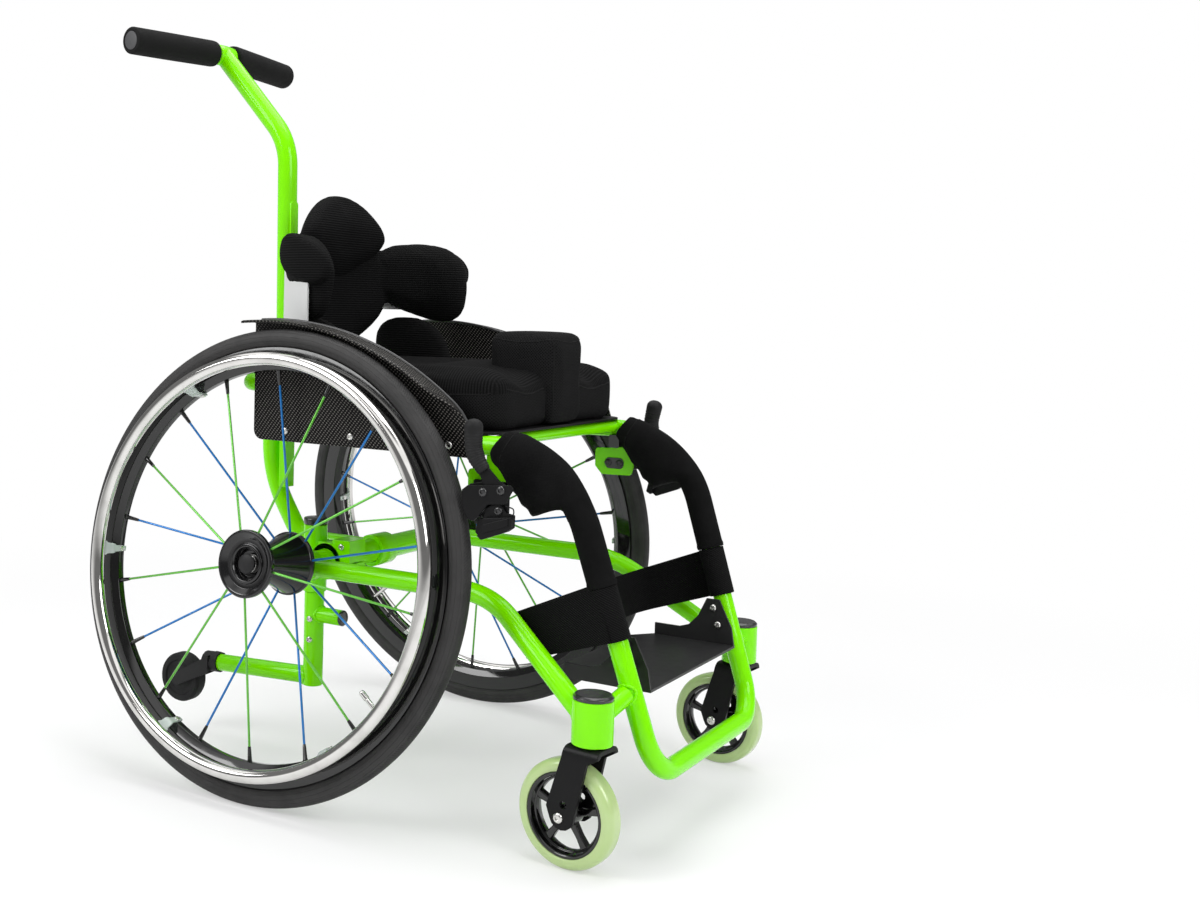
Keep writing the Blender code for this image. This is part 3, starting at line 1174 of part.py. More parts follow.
def build_brake(name, side, chair):
    """Brake on the rail's tab: bracket with two pins, lever with its grip, and the shoe before the tyre."""
    tab_face = RAIL_Y + TAB_THICKNESS / 2 + GAP
    plate_in = BRAKE_PLATE_Y
    plate_out = BRAKE_PLATE_Y + BRAKE_PLATE

    def bar(outline, near, far):
        return prism(outline, side * near, side * far)

    foot = bar(rectangle(BRAKE_FOOT_REAR, BRAKE_FOOT_BOTTOM, TAB_FRONT, BRAKE_FOOT_TOP), tab_face,
               tab_face + BRAKE_PLATE)
    arm = bar(rectangle(ARM_REAR, ARM_BOTTOM, TAB_FRONT, BRAKE_FOOT_TOP), tab_face + BRAKE_PLATE / 2,
              plate_out)
    outline = [(ARM_REAR, ARM_BOTTOM), (SHOE_PIVOT.x - 0.0115, ARM_BOTTOM)]
    outline += arc((SHOE_PIVOT.x, SHOE_PIVOT.z), 0.009, 200, 350, 6)
    outline += arc((LEVER_PIVOT.x, LEVER_PIVOT.z), 0.012, 0, 100, 5)
    outline.append((ARM_REAR, LEVER_PIVOT.z + 0.003))
    plate = bar(outline, plate_in, plate_out)
    pin_end = plate_out + GAP + LEVER_BLADE + GAP + 0.0015
    pins = []
    for centre in (LEVER_PIVOT, SHOE_PIVOT):
        start = (centre.x, side * (plate_out - 0.001), centre.z)
        pins.append(rod(start, (centre.x, side * pin_end, centre.z), BRAKE_PIN_RADIUS, 12))
    part(name + "_brake_bracket", fuse(foot, arm, plate, *pins), "black_satin", chair)

    lever_axis = pivot(name + "_brake_lever_axis", Matrix.Translation((LEVER_PIVOT.x,
                                                                       side * (plate_out + GAP),
                                                                       LEVER_PIVOT.z)), chair)
    knee = LEVER_KNEE - LEVER_PIVOT
    top = LEVER_TOP - LEVER_PIVOT
    along = knee.normalized()
    over = Vector((along.z, 0, -along.x))
    outline = arc((0, 0), 0.0105, 210, 380, 8)
    for corner in (along * 0.030 + over * 0.0055, along * 0.030 - over * 0.0055):
        outline.append((corner.x, corner.z))
    blade = prism(outline, 0, side * LEVER_BLADE)
    middle = Vector((0, side * LEVER_BLADE / 2, 0))
    grip_path = bent_path([along * 0.017 + middle, knee + middle, top + middle], 0.035, 4)
    radii = [0.0062, 0.0085] + [0.0100] * (len(grip_path) - 3) + [0.0088]
    grip_path.append(top + middle + Vector((0, 0, 0.005)))
    radii.append(0.005)
    grip = tube(grip_path, radii, 12)
    hole = rod((0, -0.01, 0), (0, 0.01, 0), BRAKE_PIN_RADIUS + BORE_PLAY, 12)
    part(name + "_brake_lever", cut(fuse(blade, grip), hole), "black_rubber", lever_axis)

    shoe_axis = pivot(name + "_brake_shoe_axis", Matrix.Translation((SHOE_PIVOT.x,
                                                                     side * (plate_out + GAP),
                                                                     SHOE_PIVOT.z)), chair)
    hub = Vector((0, 0, hub_height())) - SHOE_PIVOT
    face = TYRE_RADIUS + SHOE_CLEARANCE
    aim = round(math.degrees(math.atan2(-hub.z, -hub.x)), 2)
    high, low = aim + SHOE_ABOVE_PIVOT, aim - SHOE_BELOW_PIVOT
    inner_arc = arc((hub.x, hub.z), face, high, low, 5)
    outer_arc = arc((hub.x, hub.z), face + 0.012, low, high, 5)
    pad_y = SHOE_Y - plate_out - GAP
    pad = prism(inner_arc + outer_arc, side * (pad_y - 0.009), side * (pad_y + 0.009))
    body = prism(SHOE_BODY, 0, side * (pad_y + 0.009))
    eye = rod((0, 0, 0), (0, side * BRAKE_PLATE, 0), 0.0085, 12)
    web = prism([(-0.006, 0.002), (0.008, 0.002), (0.008, -0.016), (-0.006, -0.016)], 0,
                side * BRAKE_PLATE)
    hole = rod((0, -0.01, 0), (0, 0.01, 0), BRAKE_PIN_RADIUS + BORE_PLAY, 12)
    part(name + "_brake_shoe", cut(fuse(pad, body, web, eye), hole), "black_satin", shoe_axis)


def build_tipper(chair):
    """Anti-tipper: socket clamped round the axle tube, swinging tube, fork and small wheel."""
    axis = Vector((TIPPER_X, TIPPER_Y, 0))

    def on_axis(height):
        return axis + Vector((0, 0, height))

    sleeve = rod(on_axis(TIPPER_SOCKET_BOTTOM), on_axis(TIPPER_SOCKET_TOP), TIPPER_SOCKET, 16)
    half = Vector((0, TIPPER_CLAMP_WIDTH / 2, 0))
    axle = Vector((0, TIPPER_Y, AXLE_HEIGHT))
    ring = rod(axle - half, axle + half, AXLE_TUBE + 0.008, 18)
    ears = box((0.010, TIPPER_Y - half.y, AXLE_HEIGHT - 0.020),
               (0.036, TIPPER_Y + half.y, AXLE_HEIGHT + 0.028))
    neck = box((TIPPER_X, TIPPER_Y - 0.010, AXLE_HEIGHT - 0.018),
               (0, TIPPER_Y + 0.010, AXLE_HEIGHT + 0.022))
    axle_space = rod(axle - half * 2, axle + half * 2, AXLE_TUBE + GAP, AXLE_TUBE_SIDES)
    bore = rod(on_axis(TIPPER_SOCKET_BOTTOM - 0.01), on_axis(TIPPER_SOCKET_TOP + 0.01),
               TIPPER_SPIGOT + BORE_PLAY, 16)
    split = box((0.0145, TIPPER_Y - 0.02, AXLE_HEIGHT - 0.0009),
                (0.040, TIPPER_Y + 0.02, AXLE_HEIGHT + 0.0009))
    part("antitip_socket", cut(fuse(sleeve, ring, ears, neck), axle_space, bore, split), "lime_paint",
         chair)

    swing = pivot("antitip_axis", Matrix.Translation(axis), chair)
    collar = TIPPER_SOCKET_BOTTOM - GAP
    upright = rod((0, 0, TIPPER_ARM_HEIGHT - TIPPER_ARM), (0, 0, collar), TIPPER_TUBE, 16)
    spigot = rod((0, 0, collar - 0.004), (0, 0, TIPPER_SOCKET_TOP + 0.002), TIPPER_SPIGOT, 16)
    cap = rod((0, 0, TIPPER_SOCKET_TOP + GAP), (0, 0, TIPPER_SOCKET_TOP + 0.0085), TIPPER_SOCKET, 16)
    arm_end = TIPPER_ARM_END - axis
    arm = rod((0, 0, TIPPER_ARM_HEIGHT), arm_end, TIPPER_ARM, 14)
    stub = rod((0, 0, TIPPER_STUB_HEIGHT), (TIPPER_STUB_LENGTH, 0, TIPPER_STUB_HEIGHT),
               TIPPER_STUB_RADIUS, 12)
    part("antitip_tube", fuse(upright, spigot, cap, arm, stub), "lime_paint", swing)

    along = (arm_end - Vector((0, 0, TIPPER_ARM_HEIGHT))).normalized()
    start = arm_end - along * 0.014
    sleeve = rod(start, arm_end + along * 0.010, TIPPER_ARM + 0.0022, 14)
    centre = Vector((TIPPER_WHEEL_X, TIPPER_Y, TIPPER_WHEEL_HEIGHT)) - axis
    inside = TIPPER_WHEEL_HALF_WIDTH + 0.0012
    cheeks = []
    for side in (-1, 1):
        outline = arc((centre.x, centre.z), 0.009, 90, 270, 5)
        outline += [(arm_end.x + 0.002, arm_end.z - 0.013), (arm_end.x + 0.002, arm_end.z + 0.010)]
        cheeks.append(prism(outline, side * inside, side * (inside + 0.003)))
    bridge = box((arm_end.x - 0.006, -inside - 0.003, arm_end.z - 0.0115),
                 (arm_end.x + 0.002, inside + 0.003, arm_end.z + 0.010))
    wheel_pin = rod((centre.x, -inside - 0.001, centre.z), (centre.x, inside + 0.001, centre.z), 0.003,
                    12)
    tube_space = rod((0, 0, TIPPER_ARM_HEIGHT), arm_end + along * GAP, TIPPER_ARM + GAP, 14)
    part("antitip_fork", cut(fuse(sleeve, *cheeks, bridge, wheel_pin), tube_space), "black_plastic",
         swing)

    rolling = pivot("antitip_wheel_axis", axes(Vector((1, 0, 0)), Vector((0, 0, 1)), Vector((0, -1, 0)),
                                               centre), swing)
    half_width = TIPPER_WHEEL_HALF_WIDTH
    profile = [
        (0.003 + BORE_PLAY, -half_width), (0.011, -half_width), (0.017, -half_width + 0.003),
        (0.0235, -half_width), (TIPPER_WHEEL_RADIUS - 0.002, -half_width),
        (TIPPER_WHEEL_RADIUS, -half_width + 0.004),
    ]
    profile += [(r, -h) for r, h in reversed(profile)]
    part("antitip_wheel", turned(profile, 16, loop=True), "black_rubber", rolling)


def centre_chair(chair):
    """Slides the chair along X so that the origin is under its middle."""
    bpy.context.view_layer.update()
    reach = []
    for made in bpy.context.scene.objects:
        if made.type == "MESH":
            reach += [(made.matrix_world @ vertex.co).x for vertex in made.data.vertices]
    chair.location.x = -(min(reach) + max(reach)) / 2


def build():
    """Builds the whole chair."""
    for old in list(bpy.context.scene.objects):
        bpy.data.objects.remove(old)
    chair = new_object("chair", None)
    build_axle_tube(chair)
    build_front_loop(chair)
    build_cross_tubes(chair)
    build_posts(chair)
    build_back_shell(chair)
    build_back_pads(chair)
    build_seat(chair)
    build_strap(chair)
    build_footplate(chair)
    build_tipper(chair)
    for name, side in SIDES.items():
        build_wheel(name, side, chair)
        build_frame_side(name, side, chair)
        build_seat_rail(name, side, chair)
        build_guard(name, side, chair)
        build_knee_guard(name, side, chair)
        build_caster(name, side, chair)
        build_brake(name, side, chair)
    centre_chair(chair)


build()
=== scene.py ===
import math

import bmesh
import bpy
import numpy as np
from mathutils import Matrix, Vector
from mathutils.bvhtree import BVHTree


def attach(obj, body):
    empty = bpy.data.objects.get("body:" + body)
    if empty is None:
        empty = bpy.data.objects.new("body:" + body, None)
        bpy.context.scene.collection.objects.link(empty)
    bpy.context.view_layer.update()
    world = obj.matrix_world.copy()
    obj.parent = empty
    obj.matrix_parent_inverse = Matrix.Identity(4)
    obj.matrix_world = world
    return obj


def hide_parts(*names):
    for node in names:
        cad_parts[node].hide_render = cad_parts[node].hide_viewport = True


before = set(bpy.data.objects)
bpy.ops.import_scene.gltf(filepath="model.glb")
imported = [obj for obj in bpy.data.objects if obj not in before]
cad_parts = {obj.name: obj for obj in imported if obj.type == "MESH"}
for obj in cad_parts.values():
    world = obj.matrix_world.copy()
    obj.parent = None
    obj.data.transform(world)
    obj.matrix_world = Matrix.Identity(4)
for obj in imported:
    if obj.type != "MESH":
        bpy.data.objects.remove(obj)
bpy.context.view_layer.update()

scene = bpy.context.scene

# Camera, floor and lamps
# A child's active wheelchair stands on a white studio sweep, seen from its front right. Every place below
# is measured from REAR_AXLE, the floor point under the middle of the rear axle. Focal length and optical
# centre are in pixels of the photograph.
REAR_AXLE = np.array((-0.07523557543754578, 0.0, 0.0))
PHOTO_SIZE = (1200, 900)
FOCAL_LENGTH = 1415.776
OPTICAL_CENTRE = (372.994, 362.927)
SENSOR_WIDTH = 36
CAMERA_PLACE = (1.01515, -1.52904, 0.57611)
camera_right = Vector((0.828672, 0.559265, 0.02291))
camera_up = Vector((-0.041738, 0.020924, 0.998909))
camera_ahead = Vector((-0.558176, 0.828725, -0.040682))
camera_data = bpy.data.cameras.new("camera")
camera_data.sensor_width = SENSOR_WIDTH
camera_data.lens = FOCAL_LENGTH * SENSOR_WIDTH / PHOTO_SIZE[0]
camera_data.shift_x = (PHOTO_SIZE[0] / 2 - OPTICAL_CENTRE[0]) / PHOTO_SIZE[0]
camera_data.shift_y = (OPTICAL_CENTRE[1] - PHOTO_SIZE[1] / 2) / PHOTO_SIZE[0]
camera = bpy.data.objects.new("camera", camera_data)
scene.collection.objects.link(camera)
turn = Matrix((camera_right, camera_up, -camera_ahead)).transposed().to_4x4()
camera.matrix_world = Matrix.Translation(Vector(CAMERA_PLACE) + Vector(REAR_AXLE)) @ turn
scene.camera = camera
scene.view_settings.view_transform = "Standard"


def lamp(name, place, target, size, watts):
    """A square soft box that looks at a target."""
    data = bpy.data.lights.new(name, "AREA")
    data.size = size
    data.energy = watts
    made = bpy.data.objects.new(name, data)
    made.location = place
    made.rotation_euler = (Vector(target) - Vector(place)).to_track_quat("-Z", "Y").to_euler()
    scene.collection.objects.link(made)


lamp("left_box", (-1.6, -2.3, 2.1), (0, 0, 0.45), 1.6, 54)
lamp("right_box", (2.3, -0.7, 1.6), (0, 0, 0.40), 1.2, 26)
lamp("top_box", (0.1, 0.3, 2.9), (0, 0, 0.3), 2.2, 54)


class Wired:
    """A shader socket that Python arithmetic works on: each operation on it adds its Math node."""

    def __init__(self, tree, socket):
        self.tree = tree
        self.socket = socket

    def feed(self, node, inputs):
        """Sets or links inputs of a node."""
        for key, value in inputs.items():
            if isinstance(value, Wired):
                self.tree.links.new(value.socket, node.inputs[key])
            else:
                node.inputs[key].default_value = value

    def node(self, kind, settings, inputs, output=0):
        """Adds a node of a kind: its settings first, then the values or links of its inputs."""
        made = self.tree.nodes.new("ShaderNode" + kind)
        for name, value in settings.items():
            setattr(made, name, value)
        self.feed(made, inputs)
        return Wired(self.tree, made.outputs[output])

    def math(self, operation, *others):
        """A Math node of this value and up to two more."""
        values = dict(enumerate((self, *others)))
        return self.node("Math", {"operation": operation}, values)

    def __add__(self, other):
        return self.math("ADD", other)

    def __sub__(self, other):
        return self.math("SUBTRACT", other)

    def __mul__(self, other):
        return self.math("MULTIPLY", other)

    def __truediv__(self, other):
        return self.math("DIVIDE", other)

    def __rsub__(self, other):
        return self.node("Math", {"operation": "SUBTRACT"}, {0: other, 1: self})

    __radd__ = __add__
    __rmul__ = __mul__

    def between(self, low, high):
        """Rises smoothly from 0 to 1 as this value goes from low to high."""
        settings = {"interpolation_type": "SMOOTHSTEP"}
        return self.node("MapRange", settings, {0: self, 1: low, 2: high, 3: 0.0, 4: 1.0})

    def colour(self, first, second):
        """Colour from first to second as this value goes from 0 to 1."""
        return self.node("Mix", {"data_type": "RGBA"}, {0: self, 6: (*first, 1), 7: (*second, 1)}, 2)

    def ray(self, kind):
        """1 on rays of a kind, such as Camera, and 0 on others."""
        return self.node("LightPath", {}, {}, "Is " + kind + " Ray")


class Finish(Wired):
    """A material. As a wired value it is its Object coordinates."""

    def __init__(self, name, colour, roughness, metallic=0.0):
        self.material = bpy.data.materials.new(name)
        self.material.use_nodes = True
        self.material.diffuse_color = (*colour, 1)
        tree = self.material.node_tree
        self.coordinates = tree.nodes.new("ShaderNodeTexCoord")
        super().__init__(tree, self.coordinates.outputs["Object"])
        self.set({"Base Color": (*colour, 1), "Roughness": roughness, "Metallic": metallic})

    def set(self, inputs):
        """Sets or links inputs of the Principled shader."""
        self.feed(self.tree.nodes["Principled BSDF"], inputs)

    def other(self, output):
        """Another output of the Texture Coordinate node, such as Normal or UV."""
        return Wired(self.tree, self.coordinates.outputs[output])

    def noise(self, scale, detail=2.0, where=None):
        """Cloudy noise from 0 to 1, scale cells to the metre."""
        return self.node("TexNoise", {}, {"Vector": where or self, "Scale": scale, "Detail": detail})

    def bump(self, height, depth, strength=1.0):
        """Links a height, 1 of which is depth metres, to the shader's normal."""
        inputs = {"Height": height, "Distance": depth, "Strength": strength}
        self.set({"Normal": self.node("Bump", {}, inputs)})

    def parts(self, vector):
        """X, Y and Z of a vector."""
        split = self.tree.nodes.new("ShaderNodeSeparateXYZ")
        self.tree.links.new(vector.socket, split.inputs[0])
        return [Wired(self.tree, output) for output in split.outputs]

    def surface(self, rough, pits=None, shades=None, **sockets):
        """Gives the finish what noise does to it, and plain values by their sockets' names.

        The roughness is low + span * noise, from (low, span, scale, detail). Pits are bump, from
        (scale, detail, depth, strength), and shades are colours, from (scale, detail, first, second).
        """
        low, span, scale, detail = rough
        self.set({"Roughness": low + span * self.noise(scale, detail)})
        self.set({socket.replace("_", " "): value for socket, value in sockets.items()})
        if shades:
            scale, detail, first, second = shades
            self.set({"Base Color": self.noise(scale, detail).colour(first, second)})
        if pits:
            scale, detail, depth, strength = pits
            self.bump(self.noise(scale, detail), depth, strength)
        return self


FLOOR_HALF = 30
FLOOR_MIRRORED = 0.55
sweep = Finish("white_sweep", (0.86, 0.86, 0.865), 0.9)
near = sweep.node("VectorMath", {"operation": "LENGTH"}, {0: sweep}, 1)
seen = sweep.ray("Camera").math("MAXIMUM", sweep.ray("Glossy") * FLOOR_MIRRORED)
seen = seen.math("MAXIMUM", sweep.ray("Transmission"))
glow = sweep.node("Emission", {}, {"Color": (1, 1, 1, 1), "Strength": 1.0})
cover = sweep.node("MixShader", {}, {0: (0.42 + 0.58 * near.between(0.5, 1.8)) * seen, 2: glow})
sweep.tree.links.new(sweep.tree.nodes["Principled BSDF"].outputs[0], cover.socket.node.inputs[1])
sweep.tree.links.new(cover.socket, sweep.tree.nodes["Material Output"].inputs[0])
floor_mesh = bpy.data.meshes.new("floor")
floor_corners = [(x * FLOOR_HALF, y * FLOOR_HALF, 0) for x, y in ((-1, -1), (1, -1), (1, 1), (-1, 1))]
floor_mesh.from_pydata(floor_corners, [], [(0, 1, 2, 3)])
floor_mesh.materials.append(sweep.material)
floor = bpy.data.objects.new("floor", floor_mesh)
scene.collection.objects.link(floor)

world = bpy.data.worlds.new("studio")
world.use_nodes = True
scene.world = world
background = world.node_tree.nodes["Background"]
air = Wired(world.node_tree, background.outputs[0])
seen = air.ray("Camera").math("MAXIMUM", air.ray("Transmission"))
mirrored = air.ray("Glossy")
rise = air.node("SeparateXYZ", {}, {0: air.node("TexCoord", {}, {}, "Generated")}, 2)
horizon = 1 - rise.between(-0.03, 0.14)
strip_lamp = rise.between(0.60, 0.70) * (1 - rise.between(0.82, 0.90))
strength = 0.46 + seen * 0.54 + mirrored * (0.50 * horizon - 0.26 + 1.1 * strip_lamp)
air.feed(background, {"Strength": strength, "Color": (1, 1, 1, 1)})


# Rear wheels
# 22 inch, cambered, with a deep gloss black rim and 18 straight radial spokes: nine green ones from the
# outer hub disc and nine blue ones from the inner flange. A polished hand ring sits on six screwed tabs.
TYRE_RADIUS = 0.275
TYRE_SECTION = 0.0125
CAMBER = math.radians(7.5)
HUB_Y = 0.2384
HUB_HEIGHT = (TYRE_RADIUS - TYRE_SECTION) * math.cos(CAMBER) + TYRE_SECTION
RIM_INNER = 0.2265
RIM_OUTER = 0.2529
RIM_BED = 0.2497
RIM_HALF_WIDTH = 0.0105
SPOKE_COUNT = 18
FIRST_SPOKE = math.radians(12)
SPOKE_RADIUS = 0.00140
NIPPLE_LENGTH = 0.018
NIPPLE_SEAT = 0.002
VALVE_ANGLE = math.radians(321)
HUB_BORE = 0.007
DISC_RADIUS = 0.039
DISC_FACE = 0.038
FLANGE_RADIUS = 0.0375
FLANGE_FACE = -0.0497
HUB_FLOOR = 0.0262
HANDRIM_RADIUS = 0.237
HANDRIM_OFFSET = 0.030
HANDRIM_TUBE = 0.008
TAB_COUNT = 6
FIRST_TAB = math.radians(2)
TAB_RADIUS = 0.22465
TAB_SCREW_OFFSET = 0.0030
SIDES = {"right": -1, "left": 1}


def unit(vectors):
    """Vectors over their lengths."""
    return vectors / np.linalg.norm(vectors, axis=-1, keepdims=True)


def bent(corners, radii, steps=10):
    """Path through corners, each inner one rounded by an arc.

    With a and b from the arc's centre to its ends, and w the angle between them, the point at t is
    centre + (a sin(w (1 - t)) + b sin(w t)) / sin(w).
    """
    p = np.asarray(corners, float)
    corner = p[1:-1]
    back = unit(p[:-2] - corner)
    ahead = unit(p[2:] - corner)
    half = np.arccos(np.clip((back * ahead).sum(-1, keepdims=True), -1, 1)) / 2
    r = np.asarray(radii, float).reshape(-1, 1)
    centre = corner + unit(back + ahead) * r / np.sin(half)
    first = corner + back * r / np.tan(half) - centre
    last = corner + ahead * r / np.tan(half) - centre
    w = (math.pi - 2 * half)[:, None]
    t = np.linspace(0, 1, steps + 1)[None, :, None]
    arcs = first[:, None] * np.sin(w * (1 - t)) + last[:, None] * np.sin(w * t)
    arcs = centre[:, None] + arcs / np.sin(w)
    return np.vstack([p[:1], arcs.reshape(-1, p.shape[1]), p[-1:]])


def turned(profile, segments=96):
    """Turns a profile of (r, h) about Z: the point at (i, a) is (r cos a, r sin a, h)."""
    r, h = np.asarray(profile, float).T[:, :, None]
    a = np.linspace(0, math.tau, segments + 1)[None]
    return np.stack([r * np.cos(a), r * np.sin(a), h + 0 * a], -1)


def circle(radius, sides):
    """A round section, closed on itself."""
    a = np.linspace(0, math.tau, sides + 1)
    return np.stack([np.cos(a), np.sin(a)], -1) * radius


def carried(path, section, across):
    """Carries a section (a, b) along a path: path + a u + b v.

    u is the given direction made square to the path, and v is square to both. The section may differ
    from point to point of the path.
    """
    path = np.asarray(path, float)
    legs = unit(np.diff(path, axis=0))
    if np.allclose(path[0], path[-1]):
        ends = legs[-1:] + legs[:1]
        tangent = unit(np.vstack([ends, legs[:-1] + legs[1:], ends]))
    else:
        tangent = unit(np.vstack([legs[:1], legs[:-1] + legs[1:], legs[-1:]]))
    across = np.broadcast_to(np.asarray(across, float), path.shape)
    u = unit(across - tangent * (across * tangent).sum(-1, keepdims=True))
    v = np.cross(tangent, u)
    section = np.broadcast_to(section, (len(path), *np.shape(section)[-2:]))
    return path[:, None] + section[..., :1] * u[:, None] + section[..., 1:] * v[:, None]


def bar(path, radius, across=(0, 0, 1), edge=0.001, sides=28):
    """Round bar along a path. At each end its edge is a quarter circle, and a point closes the face."""
    path = np.asarray(path, float)
    q = np.linspace(0, math.pi / 2, 4)
    depth = edge * (1 - np.sin(q))[:, None]
    taper = radius - edge * (1 - np.cos(q))
    start = path[0] + unit(path[1] - path[0]) * depth
    end = path[-1] + unit(path[-2] - path[-1]) * depth
    whole = np.vstack([path[:1], start[::-1], path[1:-1], end, path[-1:]])
    radii = np.concatenate([[0], taper[::-1], np.full(len(path) - 2, radius), taper, [0]])
    whole[0] = path[0] - unit(path[1] - path[0]) * 1e-6
    whole[-1] = path[-1] - unit(path[-2] - path[-1]) * 1e-6
    return carried(whole, circle(1, sides)[None] * radii[:, None, None], across)


def spun(grid, angles):
    """Copies of a grid turned about Z by each angle."""
    c, s = np.cos(angles), np.sin(angles)
    turns = np.zeros((len(c), 3, 3))
    turns[:, 0, 0] = turns[:, 1, 1] = c
    turns[:, 0, 1] = -s
    turns[:, 1, 0] = s
    turns[:, 2, 2] = 1
    return np.einsum("kab,mnb->kmna", turns, grid)


def put(grid, columns, origin):
    """Places a grid: x, y and z times three directions, plus an origin."""
    return grid @ np.asarray(columns, float) + np.asarray(origin, float)


def turning(corners, radii, steps, segments, columns=np.eye(3), origin=(0, 0, 0)):
    """Turned form, its profile through rounded corners, put in its place."""
    return put(turned(bent(corners, radii, steps), segments), columns, origin)


def facing(side):
    """Directions of a turned form whose axis points outwards on a side."""
    return [(1, 0, 0), (0, 0, -side), (0, side, 0)]


def standing(side=1):
    """Directions of a plate in the plane of x and z, its levels outwards on a side."""
    return [(1, 0, 0), (0, 0, 1), (0, side, 0)]


def plate(outline, low, high, columns=np.eye(3), origin=(0, 0, 0)):
    """Flat plate: an outline (a, b) between two levels, as its points and faces."""
    outline = np.asarray(outline, float)
    n = len(outline)
    levels = np.repeat([[low], [high]], n, axis=0)
    points = put(np.hstack([np.vstack([outline, outline]), levels]), columns, origin)
    i = np.arange(n)
    j = (i + 1) % n
    return points, [i[::-1].tolist(), (i + n).tolist(), *np.stack([i, j, j + n, i + n], -1).tolist()]


def shell_of(grids):
    """Mesh of grids and plates, its doubles merged and its faces turned outwards.

    UV is in metres along each grid.
    """
    points, faces, uvs = [], [], []
    count = 0
    for grid in grids:
        if isinstance(grid, tuple):
            points.append(grid[0])
            faces += [[k + count for k in face] for face in grid[1]]
            uvs += [grid[0][face][:, :2] for face in grid[1]]
            count += len(grid[0])
            continue
        for g in grid.reshape(-1, *grid.shape[-3:]):
            m, n = g.shape[:2]
            a = (np.arange(m - 1)[:, None] * n + np.arange(n - 1)[None]).ravel()
            quads = np.stack([a, a + 1, a + n + 1, a + n], -1)
            along = np.concatenate([[0], np.cumsum(np.linalg.norm(np.diff(g, axis=1), axis=-1).mean(0))])
            down = np.concatenate([[0], np.cumsum(np.linalg.norm(np.diff(g, axis=0), axis=-1).mean(1))])
            uv = np.stack([along[quads % n], down[quads // n]], -1)
            points.append(g.reshape(-1, 3))
            faces += (quads + count).tolist()
            uvs += list(uv)
            count += m * n
    mesh = bpy.data.meshes.new("shell")
    mesh.from_pydata(np.concatenate(points).tolist(), [], faces)
    layer = mesh.uv_layers.new(name="UVMap")
    layer.data.foreach_set("uv", np.concatenate(uvs).astype(np.float32).ravel())
    bm = bmesh.new()
    bm.from_mesh(mesh)
    bmesh.ops.remove_doubles(bm, verts=bm.verts, dist=4e-6)
    bmesh.ops.dissolve_degenerate(bm, edges=bm.edges, dist=1e-7)
    bmesh.ops.recalc_face_normals(bm, faces=bm.faces)
    bm.to_mesh(mesh)
    bm.free()
    return mesh


def add(name, mesh, body, finish, nodes=(), sharp=38, bevel=0.0):
    """Puts a mesh into the scene as a piece that rides on a body and stands for CAD nodes."""
    mesh.name = name
    mesh.materials.clear()
    mesh.materials.append(finish.material)
    mesh.shade_smooth()
    if sharp:
        mesh.set_sharp_from_angle(angle=math.radians(sharp))
    made = bpy.data.objects.new(name, mesh)
    scene.collection.objects.link(made)
    if bevel:
        eased = made.modifiers.new("eased_edges", "BEVEL")
        eased.width = bevel
        eased.segments = 2
        eased.limit_method = "ANGLE"
        eased.angle_limit = math.radians(35)
        eased.harden_normals = True
    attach(made, body)
    if nodes:
        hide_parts(*nodes)
    return made


def piece(name, grids, body, finish, nodes=(), sharp=38, bevel=0.0):
    """A piece from grids and plates that are measured from REAR_AXLE."""
    moved = [(g[0] + REAR_AXLE, g[1]) if isinstance(g, tuple) else g + REAR_AXLE for g in grids]
    return add(name, shell_of(moved), body, finish, nodes, sharp, bevel)


rubber = Finish("tyre_rubber", (0.038, 0.038, 0.038), 0.62)
around, over, _ = rubber.parts(rubber.other("UV"))
off_crown = (over - math.pi * TYRE_SECTION).math("ABSOLUTE")
crown = 1 - off_crown.between(0.008, 0.0095)
chevron = (around * (math.tau / 0.0032) + off_crown * (math.tau / 0.0040)).math("SINE").between(-0.3, 0.3)
side_ribs = (over * (math.tau / 0.0055)).math("SINE").between(0.90, 0.99)
cloud = rubber.noise(34.0, 5.0)
rubber.bump(crown * chevron * 0.8 + (1 - crown) * side_ribs * 0.6 + cloud * 0.05, 0.0007)
worn = cloud.between(0.35, 0.7) + 0.6 - 0.8 * crown * chevron
rubber.set({
    "Base Color": worn.colour((0.015, 0.015, 0.015), (0.032, 0.031, 0.031)),
    "Roughness": 0.50 + 0.22 * rubber.noise(120.0, 3.0), "Specular IOR Level": 0.35,
})

gloss = Finish("black_gloss", (0.004, 0.004, 0.004), 0.10)
gloss.set({"Coat Weight": 0.3, "Coat Roughness": 0.03,
           "Roughness": 0.08 + 0.14 * gloss.noise(55.0, 4.0).between(0.45, 0.8)})
gloss.bump(gloss.noise(900.0, 2.0), 0.00001, 0.2)

anodised = Finish("black_anodised", (0.006, 0.006, 0.0065), 0.14, 0.2)
lathe = (anodised.parts(anodised)[2] * 9000.0).math("SINE")
anodised.surface((0.12, 0.10, 240.0, 3.0), Coat_Weight=0.4, Coat_Roughness=0.05)
anodised.bump(lathe * 0.2 + anodised.noise(1500.0, 2.0), 0.00001, 0.3)

chrome = Finish("polished_steel", (0.78, 0.78, 0.79), 0.07, 1.0)
smear = chrome.noise(42.0, 5.0).between(0.4, 0.8)
chrome.set({"Roughness": 0.05 + 0.07 * smear,
            "Base Color": smear.colour((0.72, 0.71, 0.69), (0.60, 0.59, 0.57))})
chrome.bump(chrome.noise(1100.0, 2.0), 0.000004, 0.2)

screw_steel = Finish("screw_steel", (0.68, 0.67, 0.65), 0.2, 1.0).surface((0.16, 0.2, 700.0, 3.0))


def tinted(name, light, dark):
    """Coloured anodised spoke: a little darker where noise is high."""
    made = Finish(name, light, 0.3, 0.35)
    shade = made.noise(90.0, 3.0)
    made.set({"Base Color": shade.colour(light, dark), "Roughness": 0.24 + 0.14 * shade, "Coat Weight": 0.4})
    made.bump(made.noise(1400.0, 1.0), 0.00001, 0.4)
    return made


